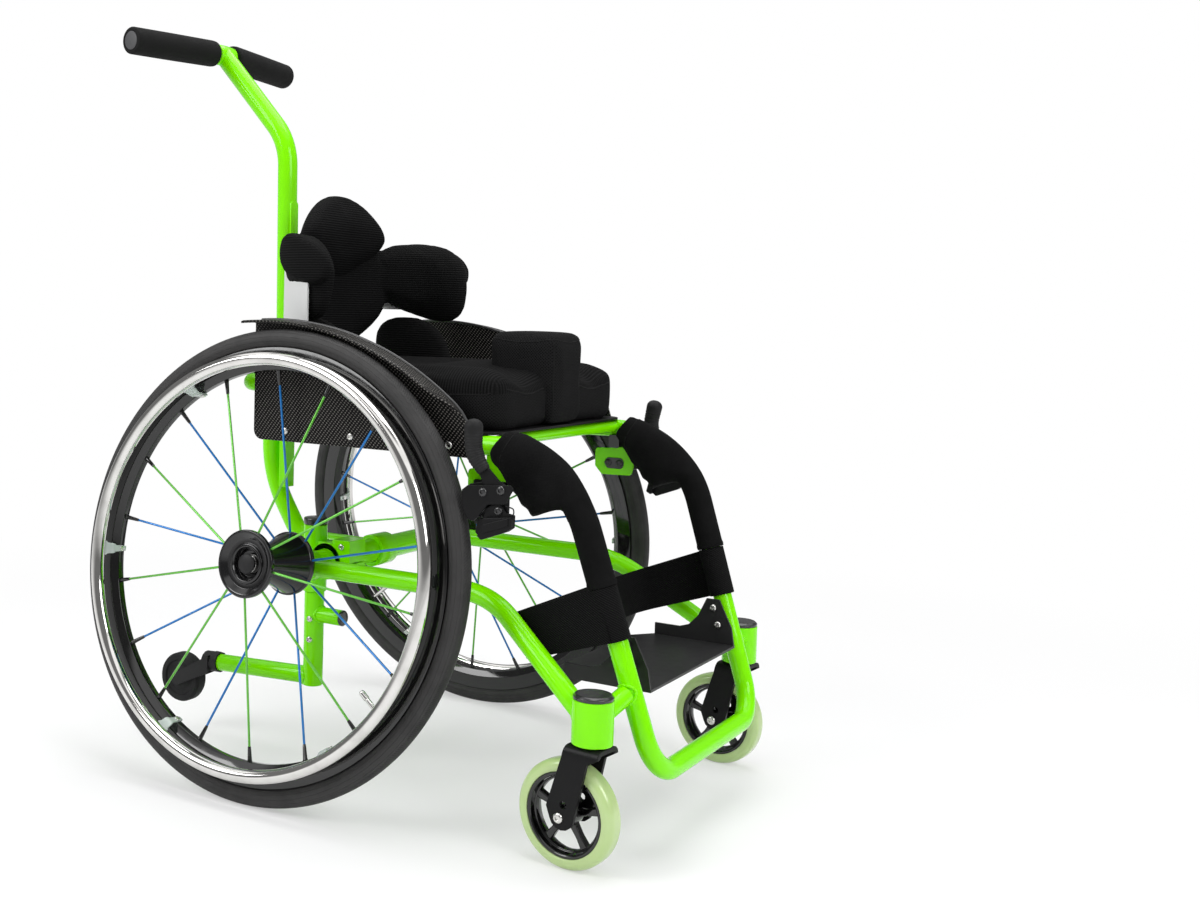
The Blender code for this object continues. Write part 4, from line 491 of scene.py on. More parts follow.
spoke_green = tinted("spoke_green", (0.15, 0.55, 0.05), (0.10, 0.42, 0.04))
spoke_blue = tinted("spoke_blue", (0.003, 0.20, 0.58), (0.002, 0.14, 0.46))
clear_tab = Finish("clear_tab", (0.62, 0.70, 0.66), 0.12)
clear_tab.surface((0.10, 0.10, 300.0, 3.0), (500.0, 2.0, 0.00005, 0.3), Coat_Weight=0.5,
                  Transmission_Weight=0.35)
soft_plastic = Finish("soft_black_plastic", (0.014, 0.014, 0.0145), 0.5)
soft_plastic.surface((0.42, 0.2, 160.0, 4.0), (2600.0, 2.0, 0.00004, 0.7), Specular_IOR_Level=0.24)


def dome_screw(radius, height, columns, place, drive=0.5):
    """Button head screw with a socket, its head up from level 0 along the third direction."""
    q = np.linspace(0, math.pi / 2, 7)
    head = np.stack([radius * np.cos(q) ** 0.7, height * np.sin(q)], -1)[:-1]
    inner = radius * drive
    top = height * math.sqrt(1 - drive ** 2)
    wall = [(inner, top), (inner * 0.96, top - height * 0.55), (0, top - height * 0.62)]
    keep = head[head[:, 0] > inner]
    return put(turned(np.vstack([[(radius, -height * 0.5)], keep, wall]), 24), columns, place)


rim_profile = bent([
    (RIM_INNER, 0), (RIM_INNER, 0.0045), (RIM_INNER + 0.008, RIM_HALF_WIDTH), (RIM_OUTER, RIM_HALF_WIDTH),
    (RIM_OUTER, 0.0085), (RIM_BED, 0.006), (RIM_BED, 0),
], [0.0018, 0.003, 0.0007, 0.0005, 0.0008], 4)
rim_profile = np.vstack([rim_profile, rim_profile[::-1] * (1, -1)])
tyre_angles = np.linspace(0, math.tau, 37) + math.pi
tyre_section = TYRE_SECTION * np.stack([np.cos(tyre_angles), np.sin(tyre_angles)], -1)
tyre_section += (TYRE_RADIUS - TYRE_SECTION, 0)
hub_profile = np.vstack([
    bent([(HUB_BORE, FLANGE_FACE), (0.030, FLANGE_FACE), (0.0305, FLANGE_FACE + 0.0006),
          (FLANGE_RADIUS, FLANGE_FACE + 0.0006), (FLANGE_RADIUS, FLANGE_FACE + 0.0045),
          (0.0352, FLANGE_FACE + 0.0058), (0.0172, FLANGE_FACE + 0.0560), (0.0165, DISC_FACE - 0.0180),
          (0.0215, DISC_FACE - 0.0135), (DISC_RADIUS - 0.001, DISC_FACE - 0.0072),
          (DISC_RADIUS, DISC_FACE - 0.0060), (DISC_RADIUS, DISC_FACE - 0.0012),
          (DISC_RADIUS - 0.0012, DISC_FACE), (DISC_RADIUS - 0.0040, DISC_FACE),
          (DISC_RADIUS - 0.0105, DISC_FACE - 0.0052), (0.0235, DISC_FACE - 0.0056),
          (0.0225, DISC_FACE - 0.0030), (0.0195, DISC_FACE - 0.0026), (0.0155, HUB_FLOOR + 0.0015),
          (0.0150, HUB_FLOOR), (HUB_BORE, HUB_FLOOR)],
         [0.0002, 0.0003, 0.0012, 0.0006, 0.004, 0.010, 0.004, 0.003, 0.0008, 0.0008, 0.0008, 0.0010, 0.0030,
          0.0010, 0.0008, 0.0010, 0.0012, 0.0010, 0.0003], 3),
    [(HUB_BORE, FLANGE_FACE)],
])
spoke_angles = FIRST_SPOKE + math.tau * np.arange(SPOKE_COUNT) / SPOKE_COUNT
rim_end = np.array((RIM_INNER + 0.002, 0, 0))
outer_flange = np.array((DISC_RADIUS - 0.005, 0, DISC_FACE - 0.005))
inner_flange = np.array((DISC_RADIUS - 0.005, 0, FLANGE_FACE + 0.0035))
inwards = [(0, 1, 0), (0, 0, 1), (-1, 0, 0)]
tab_angles = FIRST_TAB + math.tau * np.arange(TAB_COUNT) / TAB_COUNT
tab_path = bent([(0.2352, 0, 0.0262), (0.2300, 0, 0.0225), (TAB_RADIUS, 0, 0.0160),
                 (TAB_RADIUS, 0, -0.0042)],
                [0.006, 0.006], 5)
tab_widths = np.interp(np.linspace(0, 1, len(tab_path)), [0, 0.55, 0.85, 1],
                       [0.0090, 0.0062, 0.0055, 0.0030])
tab_halves = np.stack([tab_widths, np.full(len(tab_path), 0.0012)], -1)
tab_section = bent([(0, -1), (1, -1), (1, 1), (-1, 1), (-1, -1), (0, -1)], 0.25, 3)
tab = carried(tab_path, tab_section[None] * tab_halves[:, None], (0, 1, 0))
tab_middles = tab.mean(1, keepdims=True).repeat(tab.shape[1], 1)
tab = np.concatenate([tab_middles[:1], tab, tab_middles[-1:]])
tab_screw = dome_screw(0.0026, 0.0016, inwards, (0.22350, 0, TAB_SCREW_OFFSET))
tab_post = put(bar([(0, 0, 0), (0, 0, 0.0042)], 0.0034, (1, 0, 0), 0.0005, 20), inwards,
               (0.2262, 0, TAB_SCREW_OFFSET))


def spoke_parts(flange):
    """A spoke and its nipple on one straight line from the hub flange to the rim."""
    along = unit(flange - rim_end)
    collar = rim_end + along * (NIPPLE_LENGTH + NIPPLE_SEAT)
    spoke = bar([flange, collar - along * 0.004], SPOKE_RADIUS, (0, 1, 0), 0.0003, 12)
    reach = np.array([0, 0.003, 0.0145, NIPPLE_LENGTH - 0.001, NIPPLE_LENGTH, NIPPLE_LENGTH + 0.0001])
    radii = np.array([0.0030, 0.0026, 0.0021, 0.0019, 0.0016, 0.0])
    path = rim_end + along * (NIPPLE_SEAT + reach[:, None])
    return spoke, carried(path, circle(1, 14)[None] * radii[:, None, None], (0, 1, 0))


def wheel_directions(side):
    """The cambered wheel's own directions: ahead, up in its plane, and out along its axle."""
    up = np.array((0, -side * math.sin(CAMBER), math.cos(CAMBER)))
    out = np.array((0, side * math.cos(CAMBER), math.sin(CAMBER)))
    return [np.cross(up, out), up, out]


green_spoke, green_nipple = spoke_parts(outer_flange)
blue_spoke, blue_nipple = spoke_parts(inner_flange)
valve_foot = np.array((RIM_INNER + 0.001, 0, 0))
valve_stem = bar([valve_foot, valve_foot - (0.0245, 0, 0)], 0.0027, (0, 1, 0), 0.0004, 18)
valve_cap = turning([(0, 0), (0.0034, 0), (0.0034, 0.009), (0.0027, 0.011), (0, 0.011)],
                    [0.0004, 0.0006, 0.0006], 3, 24, inwards, valve_foot - (0.0225, 0, 0))
hand_ring = turned(circle(HANDRIM_TUBE, 32) + (HANDRIM_RADIUS, HANDRIM_OFFSET), 192)
pin_head = HUB_FLOOR + 0.0003
pin_tail = HUB_FLOOR - 0.133
pin = turning([(0, pin_tail), (0.0050, pin_tail), (0.00635, pin_tail + 0.002), (0.00635, pin_head),
               (0.0105, pin_head), (0.0105, pin_head + 0.003), (0.0036, pin_head + 0.003),
               (0.0035, pin_head - 0.0140), (0, pin_head - 0.0140)],
              [0.0004, 0.0004, 0.0004, 0.0004, 0.0007, 0.0003, 0.0003], 3, 40)
back = HUB_FLOOR + 0.0066
dome = np.linspace(0, 1, 12)[:, None] * math.pi / 2
button = np.vstack([
    [(0, back - 0.0145), (0.003, back - 0.0145), (0.003, back), (0.0108, back), (0.0117, back + 0.0005)],
    np.hstack([0.0117 * np.cos(dome), back + 0.0008 + 0.0034 * np.sin(dome)]),
])
for name, side in SIDES.items():
    wheel = wheel_directions(side)
    hub_place = (0, side * HUB_Y, HUB_HEIGHT)

    def wheel_piece(end, grids, finish, nodes=(), sharp=38, body=name + "_wheel"):
        """A piece of this wheel, from grids in the wheel's own directions."""
        placed = [put(grid, wheel, hub_place) for grid in grids]
        piece(name + end, placed, body, finish, nodes, sharp)

    wheel_piece("_tyre_tread", [turned(tyre_section, 192)], rubber, [name + "_tyre"], 0)
    wheel_piece("_deep_rim", [turned(rim_profile, 160)], gloss, [name + "_rim"], 30)
    wheel_piece("_hub_shell", [turned(hub_profile, 72)], anodised, [name + "_hub"], 32)
    wheel_piece("_green_spokes", [spun(green_spoke, spoke_angles[1::2])], spoke_green)
    wheel_piece("_blue_spokes", [spun(blue_spoke, spoke_angles[0::2])], spoke_blue)
    nipples = [spun(green_nipple, spoke_angles[1::2]), spun(blue_nipple, spoke_angles[0::2])]
    wheel_piece("_nipples", nipples, gloss)
    valve = [spun(valve_stem, [VALVE_ANGLE]), spun(valve_cap, [VALVE_ANGLE])]
    wheel_piece("_valve", valve, chrome)
    wheel_piece("_hand_ring", [hand_ring], chrome, [name + "_handrim"], 0)
    wheel_piece("_ring_tabs", [spun(tab, tab_angles)], clear_tab)
    screws = [spun(tab_screw, tab_angles), spun(tab_post, tab_angles)]
    wheel_piece("_tab_screws", screws, screw_steel)
    wheel_piece("_axle_pin", [pin], screw_steel, [name + "_axle"], body="frame")
    wheel_piece("_push_button", [turned(button, 48)], soft_plastic,
                [name + "_axle_button"], body=name + "_button")


# Painted frame
# Aluminium tubes, bent and welded, then powder coated in a glossy lime green with a clear coat. The seat
# rails bend at the knee into the front legs, and a loop under the footplate joins the legs.
FRAME_TUBE = 0.0112
AXLE_TUBE = 0.015
AXLE_HEIGHT = 0.259
SIDE_Y = 0.160
HEAD_PLACE = (0.411, 0.2165)
HEAD_BOTTOM = 0.135
HEAD_TOP = 0.181
HEAD_RADIUS = 0.0215
STRUT_RADIUS = 0.0102
RAIL_Y = 0.165
RAIL_HEIGHT = 0.4245
RAIL_REAR = -0.018
KNEE_X = 0.3462
LEG_SLOPE = 0.3189
LEG_SPLIT = 0.245
LOOP_HEIGHT = 0.0895
LOOP_Y = 0.1488

BORE_GAP = 0.0004
CLAMP_RADIUS = 0.0195
CROSS_TUBE = 0.0075
HOOP_TUBE = 0.0105
HOOP_HEIGHT = 0.478

paint = Finish("lime_paint", (0.19, 0.74, 0.0), 0.28)
paint.surface((0.13, 0.03, 40.0, 2.0), (90.0, 1.0, 0.000004, 0.1),
              (9.0, 2.0, (0.195, 0.80, 0.0), (0.230, 0.86, 0.0)), Coat_Weight=0.22, Coat_Roughness=0.03,
              Specular_IOR_Level=0.14)
cap_plastic = Finish("cap_plastic", (0.02, 0.02, 0.021), 0.22)
cap_plastic.surface((0.16, 0.14, 180.0, 3.0), (1300.0, 2.0, 0.00002, 0.5), Coat_Weight=0.3)


def leg_point(height, side):
    """Point on the middle line of the sloping front leg."""
    share = (RAIL_HEIGHT - height) / (RAIL_HEIGHT - LOOP_HEIGHT)
    x = KNEE_X + LEG_SLOPE * (RAIL_HEIGHT - height)
    return np.array((x, side * (RAIL_Y + (LOOP_Y - RAIL_Y) * share), height))


def rail_path(side):
    """Middle line of a seat rail and its leg."""
    knee = (KNEE_X, side * RAIL_Y, RAIL_HEIGHT)
    return bent([(RAIL_REAR, side * RAIL_Y, RAIL_HEIGHT), knee, leg_point(LEG_SPLIT, side)], [0.12], 20)


def tube_ring(bore, radius, low, high, ease, segments, columns=np.eye(3), origin=(0, 0, 0)):
    """Ring round a tube, square in section, its outer edges eased."""
    corners = [(bore, low), (radius, low), (radius, high), (bore, high), (bore, low)]
    return turning(corners, [ease, ease, 0.0004], 3, segments, columns, origin)


def weld(foot, direction, radius, other, other_direction, other_radius, bead=0.0019):
    """Weld bead where a round bar meets a round tube.

    Round the bar, the point at angle t is foot + radius (u cos t + v sin t) + s d, where s is the nearest
    root at which the distance to the other tube's middle line is that tube's radius.
    """
    d = unit(np.asarray(direction, float))
    e = unit(np.asarray(other_direction, float))
    u = unit(np.cross(d, e))
    v = np.cross(d, u)
    t = np.linspace(0, math.tau, 65)[:, None]
    rim = np.asarray(foot, float) + radius * (u * np.cos(t) + v * np.sin(t))
    away = rim - np.asarray(other, float)
    flat_d = d - e * (d @ e)
    flat = away - e * (away @ e)[:, None]
    a = flat_d @ flat_d
    b = flat @ flat_d
    c = (flat * flat).sum(-1) - other_radius ** 2
    s = (-b - np.sqrt(np.maximum(b * b - a * c, 0))) / a
    path = rim + s[:, None] * d
    size = bead * (1 + 0.16 * np.sin(t[:, 0] * round(radius * math.tau / 0.0034)))
    size[-1] = size[0]
    return carried(path, circle(1, 12)[None] * size[:, None, None], d)


axle_ends = []
for side in SIDES.values():
    outer = FLANGE_FACE - 0.0003
    plug = [(0, outer - 0.064), (0.0097, outer - 0.064), (0.0097, outer - 0.0115), (0.0135, outer - 0.0110),
            (0.0135, outer), (0.0068, outer), (0.0068, outer - 0.03), (0, outer - 0.03)]
    axle_ends.append(turning(plug, [0.001, 0.0002, 0.0002, 0.0008, 0.0006, 0.0004], 3, 48,
                             wheel_directions(side), (0, side * HUB_Y, HUB_HEIGHT)))
axle_bar = bar([(0, -0.168, AXLE_HEIGHT), (0, 0.168, AXLE_HEIGHT)], AXLE_TUBE, sides=40)
piece("camber_tube", [axle_bar, *axle_ends], "frame", paint, ["axle_tube"])

head_middle = (HEAD_BOTTOM + HEAD_TOP) / 2
head_corners = [(0.0072, HEAD_BOTTOM + 0.003), (0.0140, HEAD_BOTTOM), (HEAD_RADIUS, HEAD_BOTTOM),
                (HEAD_RADIUS, HEAD_TOP), (0.0070, HEAD_TOP), (0.0072, HEAD_BOTTOM + 0.003)]
cap_corners = [(0, 0), (HEAD_RADIUS - 0.0005, 0), (HEAD_RADIUS - 0.0003, 0.0030),
               (HEAD_RADIUS - 0.0030, 0.0054), (HEAD_RADIUS - 0.0045, 0.0048), (0, 0.0056)]
tab_outline = bent([(0.265, RAIL_HEIGHT), (0.2515, RAIL_HEIGHT), (0.2515, 0.3985), (0.2285, 0.3975),
                    (0.2285, 0.3740), (0.2380, 0.3635), (0.2790, 0.3645), (0.2850, 0.3900),
                    (0.2850, RAIL_HEIGHT)],
                   [0.001, 0.002, 0.0045, 0.004, 0.005, 0.005, 0.008], 5)
washer_outline = bent([(0.256, 0.3720), (0.2430, 0.3720), (0.2430, 0.3862), (0.2692, 0.3862),
                       (0.2692, 0.3720), (0.256, 0.3720)], [0.0060] * 4, 5)[:-1]
block_outline = bent([(0.260, 0.4000), (0.2528, 0.4000), (0.2528, 0.4168), (0.2672, 0.4168),
                      (0.2672, 0.4000), (0.260, 0.4000)], [0.0025] * 4, 4)[:-1]
for name, side in SIDES.items():
    axle_point = np.array((0.0, side * SIDE_Y, AXLE_HEIGHT))
    head_axis = np.array((HEAD_PLACE[0], side * HEAD_PLACE[1], 0.0))
    meeting = head_axis + (0, 0, head_middle - 0.006)
    corner = np.array((0.258, side * SIDE_Y, AXLE_HEIGHT))
    down = unit(meeting - corner)
    lower = bar(bent([axle_point + (0.010, 0, 0), corner, meeting], [0.11], 18), FRAME_TUBE)
    clamp = tube_ring(AXLE_TUBE + BORE_GAP, CLAMP_RADIUS, -0.012, 0.012, 0.001, 56, facing(1), axle_point)
    head_tube = turning(head_corners, [0.0006, 0.0012, 0.0008, 0.0006], 4, 72, origin=head_axis)
    leg = leg_point(head_middle + 0.021, side)
    start = meeting + (0, 0, 0.004)
    strut_way = unit(leg - start)
    strut = bar([start, leg - strut_way * 0.0103], STRUT_RADIUS)
    leg_way = leg_point(LOOP_HEIGHT, side) - leg_point(LEG_SPLIT, side)
    beads = [
        weld(leg - strut_way * 0.0305, strut_way, STRUT_RADIUS, leg, leg_way, FRAME_TUBE),
        weld(start + strut_way * 0.0400, -strut_way, STRUT_RADIUS, head_axis, (0, 0, 1), HEAD_RADIUS),
        weld(meeting - down * 0.0600, down, FRAME_TUBE, head_axis, (0, 0, 1), HEAD_RADIUS),
        weld(axle_point + (0.045, 0, 0), (-1, 0, 0), FRAME_TUBE, axle_point, (0, 1, 0), CLAMP_RADIUS),
    ]
    piece(name + "_lower_frame", [lower, clamp, head_tube, strut, *beads], "frame", paint,
          [name + "_frame_side"])
    cap = turning(cap_corners, [0.0004, 0.0010, 0.0008, 0.002], 4, 64,
                  origin=head_axis + (0, 0, HEAD_TOP + 0.0003))
    piece(name + "_head_cap", [cap], "frame", cap_plastic, [name + "_caster_cap"])
    tab_plate = plate(tab_outline, -0.002, 0.002, standing(), (0, side * RAIL_Y, 0))
    piece(name + "_brake_tab", [tab_plate], "frame", paint, bevel=0.0007)
    washer = plate(washer_outline, RAIL_Y - 0.0031, RAIL_Y - 0.0021, standing(side))
    stop = plate(block_outline, RAIL_Y - 0.0150, RAIL_Y - 0.0021, standing(side))
    piece(name + "_tab_fittings", [washer, stop], "frame", cap_plastic, bevel=0.0008)
    rail = bar(rail_path(side), FRAME_TUBE, (0, 1, 0))
    piece(name + "_rail", [rail], "frame", paint, [name + "_seat_rail"])

gap = np.array((0, 0, 0.0003))
loop_path = bent([leg_point(LEG_SPLIT, -1) - gap, leg_point(LOOP_HEIGHT, -1), leg_point(LOOP_HEIGHT, 1),
                  leg_point(LEG_SPLIT, 1) - gap], [0.046, 0.046], 18)
foot_loop = bar(loop_path, FRAME_TUBE, (0.95, 0, 0.31))
piece("foot_loop", [foot_loop], "frame", paint, ["front_loop"])
cross_height = RAIL_HEIGHT + 0.0025
cross_path = bent([(0.256, -RAIL_Y + 0.009, cross_height), (0.246, -0.09, cross_height),
                   (0.246, 0.09, cross_height), (0.256, RAIL_Y - 0.009, cross_height)], [0.25, 0.25], 8)
piece("cross_tube", [bar(cross_path, CROSS_TUBE)], "frame", paint, ["front_cross_tube"])
hoop_half = [(RAIL_REAR - 0.0003, -RAIL_Y, RAIL_HEIGHT), (RAIL_REAR - 0.024, -RAIL_Y, RAIL_HEIGHT),
             (RAIL_REAR - 0.034, -RAIL_Y, HOOP_HEIGHT), (-0.094, -RAIL_Y, HOOP_HEIGHT)]
hoop_path = bent(hoop_half + [(x, -y, z) for x, y, z in hoop_half[::-1]], [0.022] * 6, 8)
hoop_path = hoop_path[np.r_[True, np.linalg.norm(np.diff(hoop_path, axis=0), axis=1) > 1e-6]]
piece("hoop", [bar(hoop_path, HOOP_TUBE, (0.31, 0.23, 0.92))], "frame", paint, ["rear_hoop"])

# Push post and push bar
# One lime tube rises behind the seat, bends back and carries a swept bar. A flat strip on its front holds
# the back support, and a black block clamps it to the lower post and to the rear hoop.
POST_TUBE = 0.0125
POST_X = -0.1785
PUSH_TOP = np.array((-0.277, 0, 0.919))
PUSH_BEND = np.array((-0.1615, 0, 0.794))
PUSH_FOOT = np.array((-0.1575, 0, 0.484))
BAR_TUBE = 0.011
GRIP_RADIUS = 0.0179
GRIP_LENGTH = 0.135
COLLAR_RADIUS = 0.0205
lower_path = bent([(POST_X, 0, HOOP_HEIGHT), (POST_X, 0, 0.343), (-0.125, 0, AXLE_HEIGHT),
                   (-0.0195, 0, AXLE_HEIGHT)],
                  [0.155, 0.045], 16)
collar = tube_ring(AXLE_TUBE + BORE_GAP, COLLAR_RADIUS, -0.018, 0.018, 0.0012, 56, facing(1),
                   (0, 0, AXLE_HEIGHT))
collar_weld = weld((-0.060, 0, AXLE_HEIGHT), (1, 0, 0), POST_TUBE, (0, 0, AXLE_HEIGHT), (0, 1, 0),
                   COLLAR_RADIUS)
lower_bar = bar(lower_path, POST_TUBE, (0, 1, 0), sides=36)
piece("lower_post", [lower_bar, collar, collar_weld], "frame", paint, ["back_post"])


def bar_point(side, share=1.0):
    """Point of the push bar, a share of the way out to an end."""
    return PUSH_TOP + (-0.020 * share, side * 0.161 * share, -0.004 * share)


upper_path = bent([PUSH_TOP, PUSH_BEND, PUSH_FOOT], [0.085], 18)
push_bar = bar(bent([bar_point(-1), PUSH_TOP, bar_point(1)], [0.10], 6), BAR_TUBE)
sleeve = bar([bar_point(-1, 0.10), PUSH_TOP - (0.0012, 0, 0), bar_point(1, 0.10)], BAR_TUBE + 0.003,
             edge=0.002)


def post_x(height):
    """Place of the upper post's middle line at a height."""
    return np.interp(height, [PUSH_FOOT[2], PUSH_BEND[2]], [PUSH_FOOT[0], PUSH_BEND[0]])


strip_low, strip_high = 0.468, 0.714
strip_outline = bent([(-0.008, 0.50), (-0.008, strip_low), (0.008, strip_low), (0.008, strip_high),
                      (-0.008, strip_high), (-0.008, 0.50)], [0.001, 0.001, 0.005, 0.005], 4)[:-1]
lean = unit(np.array((post_x(strip_high) - post_x(strip_low), 0, strip_high - strip_low)))
strip = plate(strip_outline - (0, strip_low), 0.006, 0.0129, [(0, 1, 0), lean, (1, 0, 0)],
              (post_x(strip_low), 0, strip_low))
rail_bar = plate([(-0.010, 0.327), (0.010, 0.327), (0.010, 0.496), (-0.010, 0.496)], -0.00565, 0.00565,
                 [(0, 1, 0), (0, 0, 1), (1, 0, 0)], (-0.1528, 0, 0))
upper_bar = bar(upper_path, POST_TUBE + 0.0007, (0, 1, 0), sides=36)
piece("upper_post", [upper_bar, push_bar, sleeve], "frame", paint, ["push_post"])
piece("post_strip", [strip, rail_bar], "frame", paint, bevel=0.0009)
grip_foam = Finish("grip_foam", (0.020, 0.020, 0.021), 0.85)
grain = grip_foam.noise(1300.0, 4.0)
grip_foam.surface((0.72, 0.2, 60.0, 3.0), Specular_IOR_Level=0.12)
grip_foam.set({"Base Color": grain.colour((0.006, 0.006, 0.006), (0.016, 0.016, 0.016))})
grip_foam.bump(grain + 0.6 * grip_foam.noise(260.0, 3.0), 0.00035, 0.8)
end_disc = Finish("grey_disc", (0.050, 0.050, 0.053), 0.5)
end_disc.surface((0.42, 0.2, 200.0, 3.0), (1600.0, 2.0, 0.00003, 0.6))
grip_corners = [(BAR_TUBE + 0.0006, -0.0085), (GRIP_RADIUS - 0.0008, -0.0085), (GRIP_RADIUS, -0.002),
                (GRIP_RADIUS + 0.0002, 0.070), (GRIP_RADIUS, 0.132), (GRIP_RADIUS, GRIP_LENGTH + 0.003),
                (0.0128, GRIP_LENGTH + 0.003), (0.0124, GRIP_LENGTH + 0.0022), (0, GRIP_LENGTH + 0.0022)]
disc_outline = bent([(0, 0.0023), (0.0121, 0.0023), (0.0121, 0.0032), (0, 0.0034)], [0.0002, 0.0005], 3)
for name, side in SIDES.items():
    along = unit(bar_point(side) - PUSH_TOP)
    inner = bar_point(side) - along * GRIP_LENGTH
    square = unit(np.cross(along, (0, 0, 1)))
    on_bar = [square, np.cross(along, square), along]
    grip = turning(grip_corners, [0.003, 0.004, 0.02, 0.01, 0.003, 0.0003, 0.0003], 5, 56, on_bar, inner)
    piece(name + "_foam_grip", [grip], "frame", grip_foam, [name + "_grip"])
    disc = put(turned(disc_outline + (0, GRIP_LENGTH), 40), on_bar, inner)
    piece(name + "_grip_disc", [disc], "frame", end_disc)

satin = Finish("black_satin", (0.010, 0.010, 0.0105), 0.38)
satin.surface((0.30, 0.16, 120.0, 4.0), (1500.0, 3.0, 0.00006, 0.8),
              (18.0, 3.0, (0.005, 0.005, 0.0053), (0.010, 0.010, 0.0104)), Specular_IOR_Level=0.13)


def dressed(node, body, finish, name, bevel=0.0008):
    """Merged, smooth copy of a CAD solid, its flat faces joined and its edges eased."""
    bm = bmesh.new()
    bm.from_mesh(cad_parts[node].data)
    bmesh.ops.remove_doubles(bm, verts=bm.verts, dist=1e-5)
    bmesh.ops.dissolve_limit(bm, angle_limit=math.radians(2), verts=bm.verts, edges=bm.edges)
    mesh = bpy.data.meshes.new(name)
    bm.to_mesh(mesh)
    bm.free()
    for attribute in [a for a in mesh.attributes if a.name == "custom_normal"]:
        mesh.attributes.remove(attribute)
    return add(name, mesh, body, finish, [node], 34, bevel)


dressed("post_clamp", "frame", satin, "post_block")

# Back support
# A bent satin aluminium shell on two spacers, with a foam cushion in black spacer fabric: a trunk pad and a
# lateral pad each side in one cover, and a separate round lobe strapped on at the top.
SHELL_X = 0.014
SHELL_DEPTH = 0.127
SHELL_HALF = 0.160
SHELL_WALL = 0.0025
SHELL_ARC = (SHELL_DEPTH + SHELL_HALF) / 2


def smooth(value, low, high):
    """Rises smoothly from 0 at low to 1 at high."""
    share = np.clip((np.asarray(value, float) - low) / (high - low), 0, 1)
    return share * share * (3 - 2 * share)


def shell_point(angle, height, depth=0.0):
    """Point of the back support: an ellipse in plan, depth inwards from its outer face."""
    angle, height, depth = np.broadcast_arrays(np.asarray(angle, float), height, depth)
    x = SHELL_X - (SHELL_DEPTH - depth) * np.cos(angle)
    return np.stack([x, (SHELL_HALF - depth) * np.sin(angle), height], -1)


def closed_ends(grid):
    """Caps on the first and last row of a grid: each row and its middle."""
    return [np.stack([grid[k], np.broadcast_to(grid[k].mean(0), grid[k].shape)]) for k in (0, -1)]


silver = Finish("satin_aluminium", (0.60, 0.61, 0.61), 0.38, 0.35)
silver.surface((0.34, 0.14, 300.0, 4.0), (1200.0, 3.0, 0.00003, 0.7),
               (14.0, 3.0, (0.72, 0.73, 0.73), (0.80, 0.81, 0.80)))
sheet_angles = np.radians(np.linspace(-81, 81, 85))
wing = smooth(np.abs(sheet_angles), math.radians(28), math.radians(50))
left_wing = smooth(sheet_angles, math.radians(14), math.radians(36))
tip = smooth(np.abs(sheet_angles), math.radians(73), math.radians(81))
low_edge = 0.505 + np.where(sheet_angles > 0, 0.066 * left_wing, 0.047 * wing) + 0.002 * tip ** 2
high_edge = 0.640 - 0.022 * wing - 0.010 * tip ** 2
section = bent([(0.5, 0), (0, 0), (0, 1), (1, 1), (1, 0), (0.5, 0)], [0.003, 0.003, 0.003, 0.003], 2)
heights = low_edge[:, None] + (high_edge - low_edge)[:, None] * section[None, :, 0]
sheet = shell_point(sheet_angles[:, None], heights,
                    SHELL_WALL * section[None, :, 1] + np.zeros((len(sheet_angles), 1)))
spacers = []
for height in (0.540, 0.605):
    rear_face = post_x(height) + 0.0135
    spacers.append(bar([(rear_face, 0, height), (SHELL_X - SHELL_DEPTH + 0.001, 0, height)], 0.009,
                       (0, 1, 0), 0.0008, 32))
piece("shell_sheet", [sheet, *closed_ends(sheet), *spacers], "frame", silver, ["back_shell"])

THIGH_SEAM = 0.479
THIGH_SEAM_RISE = 0.016


def all_round(finish, flat):
    """A flat pattern of (a, b) laid on all sides of a pad, blended by where the face looks."""
    x, y, z = finish.parts(finish)
    facing = [part.math("ABSOLUTE").math("POWER", 6.0) for part in finish.parts(finish.other("Normal"))]
    total = facing[0] + facing[1] + facing[2]
    return (flat(y, z) * facing[0] + flat(x, z) * facing[1] + flat(x, y) * facing[2]) / total


def ribs(pitch, course, level=False):
    """Ribbed knit: (1 + cos(2 pi a / pitch)) / 2, each rib broken into stitches of one course.

    Level ribs are stacked along b instead.
    """
    def flat(a, b):
        across, along = (b, a) if level else (a, b)
        wave = (across * (math.tau / pitch)).math("COSINE") * 0.5 + 0.5
        stitch = (along * (math.tau / course)).math("COSINE") * 0.5 + 0.5
        return wave * (0.72 + 0.28 * stitch)
    return flat


def dots(pitch):
    """Spacer mesh: holes on a diagonal grid, where cos(2 pi a / pitch) cos(2 pi b / pitch) is high."""
    def flat(a, b):
        grid = (a * (math.tau / pitch)).math("COSINE") * (b * (math.tau / pitch)).math("COSINE")
        return 1 - grid.between(0.05, 0.75)
    return flat


def fabric(name, height):
    """Black cover cloth from its height pattern, with painted shade: its low places and fold hollows are
    coloured darkest, and soft folds cross it.
    """
    cloth = Finish(name, (0.006, 0.006, 0.006), 0.92)
    pattern = height(cloth)
    folds = cloth.noise(28.0, 4.0)
    cloth.bump(pattern * 0.6 + folds * 0.8, 0.0012, 0.8)
    # Painted shade and highlight: the colour follows the height, dark in the knit's hollows and the folds'
    # hollows and lighter on raised ribs and folds.
    shade = pattern * 0.85 + folds * 0.3
    cloth.set({
        "Base Color": shade.colour((0.0012, 0.0012, 0.0012), (0.0125, 0.0125, 0.0127)),
        "Roughness": 0.84 + 0.12 * folds, "Specular IOR Level": 0.07,
    })
    return cloth


def panels(cloth):
    """The seat cover: ribs above the thigh seam and dotted mesh below it."""
    x, _, z = cloth.parts(cloth)
    line = z - THIGH_SEAM_RISE * x.between(0.172, 0.215)
    above = line.between(THIGH_SEAM - 0.0006, THIGH_SEAM + 0.0006)
    return all_round(cloth, ribs(0.0036, 0.0030)) * above + all_round(cloth, dots(0.0036)) * (1 - above)


